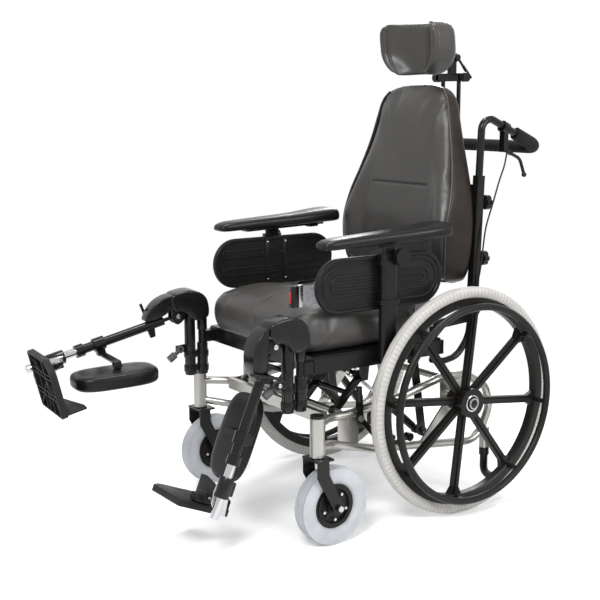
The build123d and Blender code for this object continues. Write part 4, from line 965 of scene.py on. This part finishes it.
def makeCaster(side, hand):
    s = casterShape
    half, top = s["width"] / 2, s["radius"]
    profile = [(-half * 0.66, s["inner"]), (-half * 0.92, s["inner"] + 5), (-half, s["inner"] + 16),
               (-half * 0.95, top - 17), (-half * 0.82, top - 8.5)]
    for k in range(s["ribs"]):
        at = -half * 0.72 + half * 1.44 * k / (s["ribs"] - 1)
        bow = 5.2 * (at / half) ** 2
        if k:
            profile.append((at - 4.6, top - bow - s["ribDepth"] - 0.4))
        profile += [(at - 2.7, top - bow - 0.4), (at + 2.7, top - bow - 0.4)]
        if k < s["ribs"] - 1:
            profile.append((at + 4.0, top - bow - s["ribDepth"] - 0.4))
    profile += [(-x, r) for x, r in reversed(profile[:5])]
    profile.append(profile[0])
    tyre = lathe("casterTyre_" + hand, s["centre"], profile, 96, 50)
    dress(tyre, "caster_grey", "caster_" + hand, "caster_tyre_" + hand, onto=sideFrame(side))
    x, y, z = s["centre"]
    bolts = []
    for k in range(s["bolts"]):     # the bolts that hold the two rim halves together
        turn = radians(s["boltTurn"] + 360 / s["bolts"] * k)
        by, bz = y + s["boltCircle"] * sin(turn), z + s["boltCircle"] * cos(turn)
        for a, b in ((14, 19), (-19, -14)):
            bolts.append(rod("rimBolt", (x + a, by, bz), (x + b, by, bz), 4.6, 1.2, 6))
    dress(together("rimBolts_" + hand, *bolts), "steel", "caster_" + hand, onto=sideFrame(side))
    ends = [rod("forkBolt", (x + 37, y, z), (x + 45, y, z), 8.5, 2.0, 6),
            rod("forkNut", (x - 45, y, z), (x - 37, y, z), 8.5, 2.0, 6)]
    dress(together("forkBolts_" + hand, *ends), "steel", "caster_fork_" + hand, onto=sideFrame(side))


# armrests

armPadShape = {
    "stations": [     # place along Y, half width, height over the plate, underside lift
        (-426, 12, 11, 8), (-424, 20, 18, 4), (-415, 26, 23, 1), (-396, 30, 27, 0), (-337, 31, 29, 0),
        (-246, 33.5, 31, 0), (-173, 38, 33, 0), (-119, 45, 37, 0), (-73, 48.5, 40, 0), (-48, 47.5, 40, 0),
        (-34, 42, 36, 2), (-29, 30, 26, 7), (-28, 20, 16, 11),
    ],
    "middle": 246, "plate": 735, "slope": 1.6, "pivot": -230,
    "lip": 0.42,          # share of the height where the widest line runs
}


def makeArmPad(side, hand):
    s = armPadShape
    lean = tan(radians(s["slope"]))
    rings = []
    lip = s["lip"]
    places = [-426, -425, -422, -417, -409, -399] + [-399 + 20 * k for k in range(1, 18)]
    for y in places + [-50, -42, -35, -31, -29, -28]:
        half, top, low = along(s["stations"], y)
        ring = []
        for k in range(32):     # flat below, a lip round the edge, a crowned top
            turn = 2 * pi * (k + 0.5) / 32
            c, n = cos(turn), sin(turn)
            x = half * (abs(c) ** 0.55) * (1 if c > 0 else -1)
            share = lip + (1 - lip) * abs(n) ** 0.75 if n > 0 else lip - lip * abs(n) ** 0.5
            z = s["plate"] + low + (top - low) * share + (y - s["pivot"]) * lean
            ring.append(Vector((s["middle"] + x, y, z)) / 1000)
        rings.append(ring)
    pad = skin("armPad_" + hand, rings)
    refine(pad)
    return dress(pad, "padSkin", "arm_" + hand, "arm_pad_" + hand, onto=sideFrame(side))


panelShape = {
    "length": 402, "height": 139, "middle": (-237, 638), "inside": 238, "outside": 251,
    "ridges": (42, 90, 122),        # how much smaller each raised loop on the outside is
    "ribs": (26, -24), "ribEnds": (-410, -70),
    "bands": (-262, -202), "webs": (-24, 0, 24), "screws": (-53, 53),
}


def makeSidePanel(side, hand):
    s = panelShape
    y0, z0 = s["middle"]

    def loop(x, shrink):
        return [(x, y0 + y, z0 + z) for y, z in oval(s["length"] - shrink, s["height"] - shrink, 18)]

    body = plate("panelBody", loop(s["inside"], 0), (s["outside"] - s["inside"], 0, 0), 3.5, 4)
    edit(body, "DESELECT")     # both faces sink inside a rim
    bpy.ops.object.mode_set(mode="OBJECT")
    for face in body.data.polygons:
        face.select = abs(face.normal.x) > 0.99 and face.area > 0.03
    bpy.ops.object.mode_set(mode="EDIT")
    bpy.ops.mesh.select_mode(type="FACE")
    bpy.ops.mesh.inset(thickness=0.006, depth=0.0)
    bpy.ops.mesh.inset(thickness=0.002, depth=-0.003)
    bpy.ops.mesh.select_mode(type="VERT")
    bpy.ops.object.mode_set(mode="OBJECT")
    smooth(body)
    parts = [body]
    for shrink in s["ridges"]:
        parts.append(pipe("ridge", loop(s["outside"] - 3.2, shrink), 3.0, closed=True))
    parts.append(pipe("rim", loop(s["outside"] - 1.8, 9), 2.6, closed=True))
    parts.append(pipe("innerRim", loop(s["inside"] + 1.8, 9), 2.6, closed=True))
    front, rear = s["ribEnds"]
    inside = s["inside"]
    for rise in s["ribs"]:     # long ribs on the inside, each a flat ring
        ring = [(inside + 2.2, (front + rear) / 2 + y, z0 + rise + z) for y, z in oval(rear - front, 19, 8)]
        parts.append(pipe("rib", ring, 2.2, closed=True))
    for y in s["bands"]:     # the upright bands that the screws go through
        parts.append(block("band", (inside + 0.3, y - 8, z0 - 62), (inside + 6, y + 8, z0 + 62), 1.5))
        for z in (z0 + rise for rise in s["webs"]):
            parts.append(block("web", (inside + 1.2, y - 20, z - 2), (inside + 6, y + 20, z + 2), 0.8))
    panel = together("sidePanel_" + hand, *parts)
    stoodFor = ["side_panels"] if side > 0 else []     # one node holds both panels
    dress(panel, "panel_black", "seat", *stoodFor, onto=sideFrame(side))
    screws = []
    for y in s["bands"]:
        for z in (z0 + rise for rise in s["screws"]):
            screws.append(rod("panelScrew", (inside - 0.9, y, z), (inside + 2, y, z), 3.6, 1.0, 16))
    dress(together("panelScrews_" + hand, *screws), "steel", "seat", onto=sideFrame(side))


# legrests: made hanging straight down from the knee, then raised and swung as in the photograph

legPlaces = {
    "knee": (241.5, -557.8, 509.9), "post": (241, -480),
    "left": {"raise": 22.9, "swing": 0.0},
    "right": {"raise": 76.4, "swing": 5.1},
}


def legFrame(side, hand, raised=True):
    s = legPlaces
    knee = Matrix.Translation(Vector(s["knee"]) / 1000)
    post = Matrix.Translation((s["post"][0] / 1000, s["post"][1] / 1000, 0))
    swing = Matrix.Rotation(radians(s[hand]["swing"]), 4, "Z")
    lift = Matrix.Rotation(-radians(s[hand]["raise"]), 4, "X") if raised else Matrix.Identity(4)
    return sideFrame(side) @ post @ swing @ post.inverted() @ knee @ lift


def hung(x, u, n):     # across, down and forward of the knee
    return (x, -n, -u)


kneeShape = {
    "cover": [(9, 13), (24, 38), (17, 60), (-3, 67), (-36, 70), (-64, 62), (-82, 45), (-89, 21), (-88, -3),
              (-73, -13), (-45, -14), (-27, 5), (-4, 14)],      # forward of the knee, above it
    "coverHalf": 28.5,
    "lobe": [(-36, 44), (-22, 55), (-4, 61), (12, 63), (30, 61), (50, 56), (67, 47), (81, 35), (90, 23),
             (91, 15), (80, 12.6), (60, 12.6), (38, 17), (10, 27), (-15, 36)],      # below it, forward of it
    "lobeHalf": 25,
    "lobeTaper": 0.30,
    "middle": -0.5, "frontTube": -40.8, "rearTube": -77.8,     # the hanger's two upright tubes
}


def makeKnee(side, hand):
    s = kneeShape
    half = s["coverHalf"]
    outline = rounded([hung(-half, -up, n) for n, up in s["cover"]])
    cover = plate("kneeCover_" + hand, outline, (2 * half, 0, 0), 9, 5)
    dress(cover, "gloss_black", "hanger_" + hand, "knee_hanger_" + hand, onto=legFrame(side, hand, False))
    half = s["lobeHalf"]
    outline = rounded([hung(-half, u, n) for u, n in s["lobe"]])
    lobe = plate("kneeLobe_" + hand, outline, (2 * half, 0, 0), 12, 6)
    for vertex in lobe.data.vertices:
        vertex.co.x *= 1 - s["lobeTaper"] * ease(-vertex.co.z, 0.03, 0.09)
    brim = rounded([hung(half + 1.2, -up * 0.97, n * 0.95 - 2) for n, up in s["cover"]])
    rim = pipe("kneeRim_" + hand, [(x - 2.2, y, z) for x, y, z in brim], 2.6, closed=True)
    dress(rim, "gloss_black", "hanger_" + hand, onto=legFrame(side, hand, False))
    dress(lobe, "gloss_black", "leg_" + hand, "knee_lobe_" + hand, onto=legFrame(side, hand))
    makeHanger(hand, legFrame(side, hand, False))


def makeHanger(hand, straight):
    s = kneeShape
    x, front, rear = s["middle"], s["frontTube"], s["rearTube"]
    fat = [rod("frontTube", hung(x, -5, front), hung(x, 171, front), 15, 3),
           rod("lowerSleeve", hung(x, 81.9, rear), hung(x, 171, rear), 15, 3),
           rod("upperSleeve", hung(x, 0, rear), hung(x, 45.9, rear), 14, 2)]
    dress(together("hangerTubes_" + hand, *fat), "gloss_black", "hanger_" + hand, onto=straight)
    tubes = []
    for u0, u1 in ((142, 162), (102, 122)):     # collars round both tubes
        for n in (rear, front):
            tubes.append(rod("collar", hung(x, u0, n), hung(x, u1, n), 17.5, 2))
        tubes.append(block("bridge", (x - 6, -front, -u1 + 1), (x + 6, -rear, -u0 - 1), 1))
    cheek = [(22, 0), (10, 18), (-14, 18), (-34, 12), (-34, -12), (0, -22)]     # both sides of the knee's pin
    for inner in (-21, 3):
        tubes.append(plate("cheek", rounded([hung(inner, u, n) for u, n in cheek], 3), (6, 0, 0), 1))
    latchArm = [(84, -42), (108, -42), (106, -2), (88, -2)]
    tubes.append(plate("latchArm", [hung(8, u, n) for u, n in latchArm], (4, 0, 0), 1))
    dress(together("legHanger_" + hand, *tubes), "frame_black", "hanger_" + hand, onto=straight)
    pins = [rod("kneePin", hung(-22, 0, 0), hung(13.5, 0, 0), 7.5, 1.5, 6),
            rod("latchPin", hung(6, 96, -10), hung(15, 96, -10), 5.5, 1.5),
            rod("lockPin", hung(x, 118, rear), hung(x, 140, rear), 7, 1.5)]
    dress(together("kneePins_" + hand, *pins), "steel", "hanger_" + hand, onto=straight)


calfShape = {
    "middle": (-120, 240, -66), "length": 225, "width": 130, "depth": 40,
    "lifted": {"left": 0, "right": 12}, "pin": (231, -37),      # degrees that the pad is turned up on its pin
    "levels": [     # share of the depth from the back, share of the length, share of the width
        (0.0, 0.90, 0.86), (0.06, 0.95, 0.93), (0.2, 0.99, 0.985), (0.32, 1.0, 1.0), (0.6, 1.0, 1.0),
        (0.8, 0.985, 0.975), (0.92, 0.95, 0.92), (0.98, 0.88, 0.81), (1.0, 0.76, 0.64),
    ],
    "seam": 0.42,
}


def makeCalfPad(side, hand):
    s = calfShape
    x0, u0, n0 = s["middle"]
    rings = []
    for share in (0, 0.03, 0.08, 0.14, 0.22, 0.32, 0.42, 0.52, 0.62, 0.72, 0.8, 0.87, 0.92, 0.96, 0.99, 1.0):
        long, wide = along(s["levels"], share)
        ring = []
        for k in range(48):
            turn = 2 * pi * k / 48
            c, n = cos(turn), sin(turn)
            x = s["width"] / 2 * wide * (abs(c) ** 0.62) * (1 if c > 0 else -1)
            u = s["length"] / 2 * long * (abs(n) ** 0.60) * (1 if n > 0 else -1)
            ring.append(Vector(hung(x0 + x, u0 + u, n0 - s["depth"] / 2 + s["depth"] * share)) / 1000)
        rings.append(ring)
    pad = skin("calfPad_" + hand, rings)
    middle = n0 - s["depth"] / 2 + s["depth"] * s["seam"]
    press(pad, lambda p: p.y + middle / 1000, 0.0012, 0.002)
    refine(pad)
    pin = Matrix.Translation(Vector(hung(0, *s["pin"])) / 1000)
    lift = Matrix.Rotation(-radians(s["lifted"][hand]), 4, "X")
    turned = legFrame(side, hand) @ pin @ lift @ pin.inverted()
    dress(pad, "padSkin", "calf_" + hand, "calf_pad_" + hand, onto=turned)
    neck = block("calfNeck_" + hand, (x0 - 6.6, 34, -239), (x0 + 6.6, 52, -223), 1)
    return dress(neck, "frame_black", "calf_" + hand, onto=turned)


tubeShape = {
    "x": -6, "top": 160, "bottom": 432, "radius": 11, "sleeve": (329, 380, 18.5),
    "bracket": [(336, 8), (372, 12), (400, 10), (410, 1), (424, -14), (424, -40), (384, -34), (340, -14)],
    "fold": (396, -3),
}


def makeFootTube(side, hand):
    s = tubeShape
    x = s["x"]
    chromeTube = rod("chromeTube", hung(x, s["top"], 0), hung(x, s["bottom"], 0), s["radius"], 2, 40)
    arm = plate("footBracket", [hung(x - 21, u, n) for u, n in s["bracket"]], (6, 0, 0), 1.5)
    root = block("bracketRoot", (x - 18, -8, -376), (x - 12, 8, -340), 1)
    pin = rod("foldPin", hung(-72, *s["fold"]), hung(x - 12, *s["fold"]), 5, 1)
    nut = rod("foldNut", hung(x - 16, *s["fold"]), hung(x - 8, *s["fold"]), 9, 1.5, 6)
    leg = legFrame(side, hand)
    chromeWork = together("footTube_" + hand, chromeTube, arm, root, pin, nut)
    dress(chromeWork, "chrome", "foot_" + hand, "foot_tube_" + hand, onto=leg)
    u0, u1, radius = s["sleeve"]
    parts = [rod("sleeve", hung(x, u0, 0), hung(x, u1, 0), radius, 3, 40)]
    parts.append(block("sleeveEar", (x - 5, 14, -u1 + 8), (x + 5, 28, -u0 - 8), 2))
    return dress(together("footSleeve_" + hand, *parts), "gloss_black", "foot_" + hand, onto=leg)


footShape = {
    "top": 415, "thick": 17, "front": 66.5, "rear": -83.5, "outer": -68, "inner": -235,
    "corner": 6, "cut": 30, "hollow": 11, "rib": 16,
}


def makeFootplate(side, hand):
    s = footShape
    x0, x1, n0, n1, u = s["inner"], s["outer"], s["rear"], s["front"], s["top"]
    cut, small = s["cut"], s["corner"]
    outline = [
        (x1 - small, n1), (x0 + cut, n1), (x0 + 6, n1 - cut * 0.8), (x0, n1 - cut * 1.3), (x0, n0 + small),
        (x0 + small, n0), (x1 - small, n0), (x1, n0 + small), (x1, n1 - small),
    ]
    body = plate("tread", [hung(x, u, n) for x, n in outline], (0, 0, -s["thick"]), 1.5, 3)
    pick(body)
    for face in body.data.polygons:
        face.select = face.normal.z < -0.99 and face.area > 0.005
    bpy.ops.object.mode_set(mode="EDIT")
    bpy.ops.mesh.select_mode(type="FACE")
    bpy.ops.mesh.inset(thickness=0.0035, depth=0.0)
    bpy.ops.mesh.inset(thickness=0.001, depth=-s["hollow"] / 1000)
    bpy.ops.mesh.select_mode(type="VERT")
    bpy.ops.object.mode_set(mode="OBJECT")
    smooth(body)
    parts = [body]
    lines = []      # stiffening ribs below, given by their ends
    for share in (0.3, 0.38, 0.66, 0.74):
        n = n0 + (n1 - n0) * share
        lines.append(((x0 + 3, n), (x1 - 3, n)))
    for share in (0.33, 0.66):
        x = x0 + (x1 - x0) * share
        lines.append(((x, n0 + 3), (x, n1 - 3)))
    hub = (x0 + 54, 8)
    for end in ((x0 + 4, n0 + 8), (x0 + 60, n1 - 4), (x1 - 6, n1 - 6), (x1 - 6, n0 + 6), (x0 + 90, n0 + 4)):
        lines.append((hub, end))
    for (xa, na), (xb, nb) in lines:
        run = Vector((xb - xa, nb - na, 0)).normalized()
        across = Vector((run.y, run.x, 0)) * 1.1
        foot = [Vector(hung(xa, u + 4, na)), Vector(hung(xb, u + 4, nb)), Vector(hung(xb, u + s["rib"], nb)),
                Vector(hung(xa, u + s["rib"], na))]
        parts.append(plate("rib", [tuple(p - across) for p in foot], tuple(across * 2), 0))
    parts.append(block("hinge", (x1 - 34, -22, -u + 2), (x1 - 2, 28, -u + 22), 3, 3))
    parts.append(rod("hingeBoss", hung(x1 - 34, u - 19, -3), hung(x1 + 3, u - 19, -3), 12, 2))
    wall = [hung(x0 + 4, u + 3, n0 + 4), hung(x0 + 4, u - 50, n0 + 4), hung(x0 + 30, u - 52, n0 + 4),
            hung(x1 - 30, u - 30, n0 + 4), hung(x1 - 4, u - 22, n0 + 4), hung(x1 - 4, u + 3, n0 + 4)]
    parts.append(plate("heelWall", wall, (0, -5, 0), 1.5, 3))
    footplate = together("footPlate_" + hand, *parts)
    return dress(footplate, "treadBlack", "footplate_" + hand, "footplate_" + hand, onto=legFrame(side, hand))


# belt

beltShape = {
    "width": 50, "low": 588.2, "thick": 1.6,
    "route": [(187.6, -446), (194, -400), (205, -320), (216, -230), (225, -150), (228.4, -110), (228.6, -92)],
    "drop": (-108, -58, 470),                          # the strap down to the rail: front, rear and foot
    "buckle": (187, -446), "behind": (228.5, -108),    # the buckle's root, and what it lines up with
}


def makeBelt():
    s = beltShape
    low, high = s["low"], s["low"] + s["width"]
    strip = trace("lapWebbing", [(x, y, low) for x, y in s["route"]])
    bpy.ops.mesh.extrude_region_move(TRANSFORM_OT_translate={"value": (0, 0, s["width"] / 1000)})
    bpy.ops.mesh.select_all(action="SELECT")
    bpy.ops.mesh.subdivide(number_cuts=2)
    closeUp(strip)
    front, rear, foot = s["drop"]
    tail = block("dropStrap", (227.6, front, foot), (229.2, rear, high), 0.4)
    thicken = strip.modifiers.new("thicken", "SOLIDIFY")
    thicken.thickness = s["thick"] / 1000
    thicken.offset = 0
    applyAll(strip)
    smooth(strip)
    webbing = together("lapWebbing", strip, tail)
    dress(webbing, "webbing", "seat", "lap_belt", onto=chairFrame)
    makeBuckle(low, high)


def makeBuckle(low, high):
    (x, y), (endX, endY) = beltShape["buckle"], beltShape["behind"]
    root = Matrix.Translation((x / 1000, y / 1000, 0))
    onto = chairFrame @ root @ Matrix.Rotation(-atan2(endX - x, endY - y), 4, "Z") @ root.inverted()
    shell = block("buckleBody", (x - 8, y - 24, low - 2.5), (x + 8, y - 3, high + 2.5), 2.2, 3)
    dress(shell, "gloss_black", "seat", onto=onto)
    bar = block("buckleSlide", (x - 4, y - 3.5, low - 3), (x + 4.5, y + 9, high + 3.5), 1.6, 3)
    dress(bar, "steel", "seat", onto=onto)
    button = block("buckleButton", (x - 4.4, y - 26, low + 8), (x + 4.4, y - 17, high - 12), 1.4, 3)
    dress(button, "button_red", "buckle_button", "buckle_button", onto=onto)


linkShape = {
    "base": (-352, 310), "seat": (-270, 394), "bars": (69, 208), "thick": 5, "width": 24,
    "baseBoss": (6.5, 9.2, 15), "seatBoss": (5.5, 6.2, 13),     # half as long, bore, radius
    "brace": 7,
}


def makeFrontLinks():     # two bars each side, with a round brace between them
    s = linkShape
    a, b = Vector(s["base"]), Vector(s["seat"])
    way = (b - a).normalized()
    middle = (a + b) / 2
    parts = []
    for side, hand in hands:
        for x in s["bars"]:
            outline = []
            for u, v in oval((b - a).length + s["width"], s["width"]):
                outline.append((side * x - s["thick"] / 2, middle.x + u * way.x - v * way.y,
                                middle.y + u * way.y + v * way.x))
            parts.append(plate("linkBar", outline, (s["thick"], 0, 0), 0.8))
            for centre, (half, bore, radius) in ((a, s["baseBoss"]), (b, s["seatBoss"])):
                ring = [(-half, bore), (-half, radius), (half, radius), (half, bore), (-half, bore)]
                parts.append(lathe("linkBoss", (side * x, *centre), ring, 48))
        inner, outer = s["bars"]
        parts.append(rod("linkBrace", (side * inner, *middle), (side * outer, *middle), s["brace"]))
    return dress(together("frontLinks", *parts), "frame_black", "front_links", "front_links", onto=chairFrame)
makeCamera()
makeLights()
makeWorld()
makeFloor()
print("camera, lights and floor ready")

makeBackCushion()
makeBackShell()
makeSeatCushion()
makeHeadPad()
print("cushions filled")

for side, hand in hands:
    makeRearTyre(side, hand)
    makeHub(side, hand)
    makeCaster(side, hand)
    makeArmPad(side, hand)
    makeSidePanel(side, hand)
    makeKnee(side, hand)
    makeCalfPad(side, hand)
    makeFootTube(side, hand)
    makeFootplate(side, hand)
makeFrontLinks()
makeBelt()
print("wheels, links, armrests, legrests and belt made")
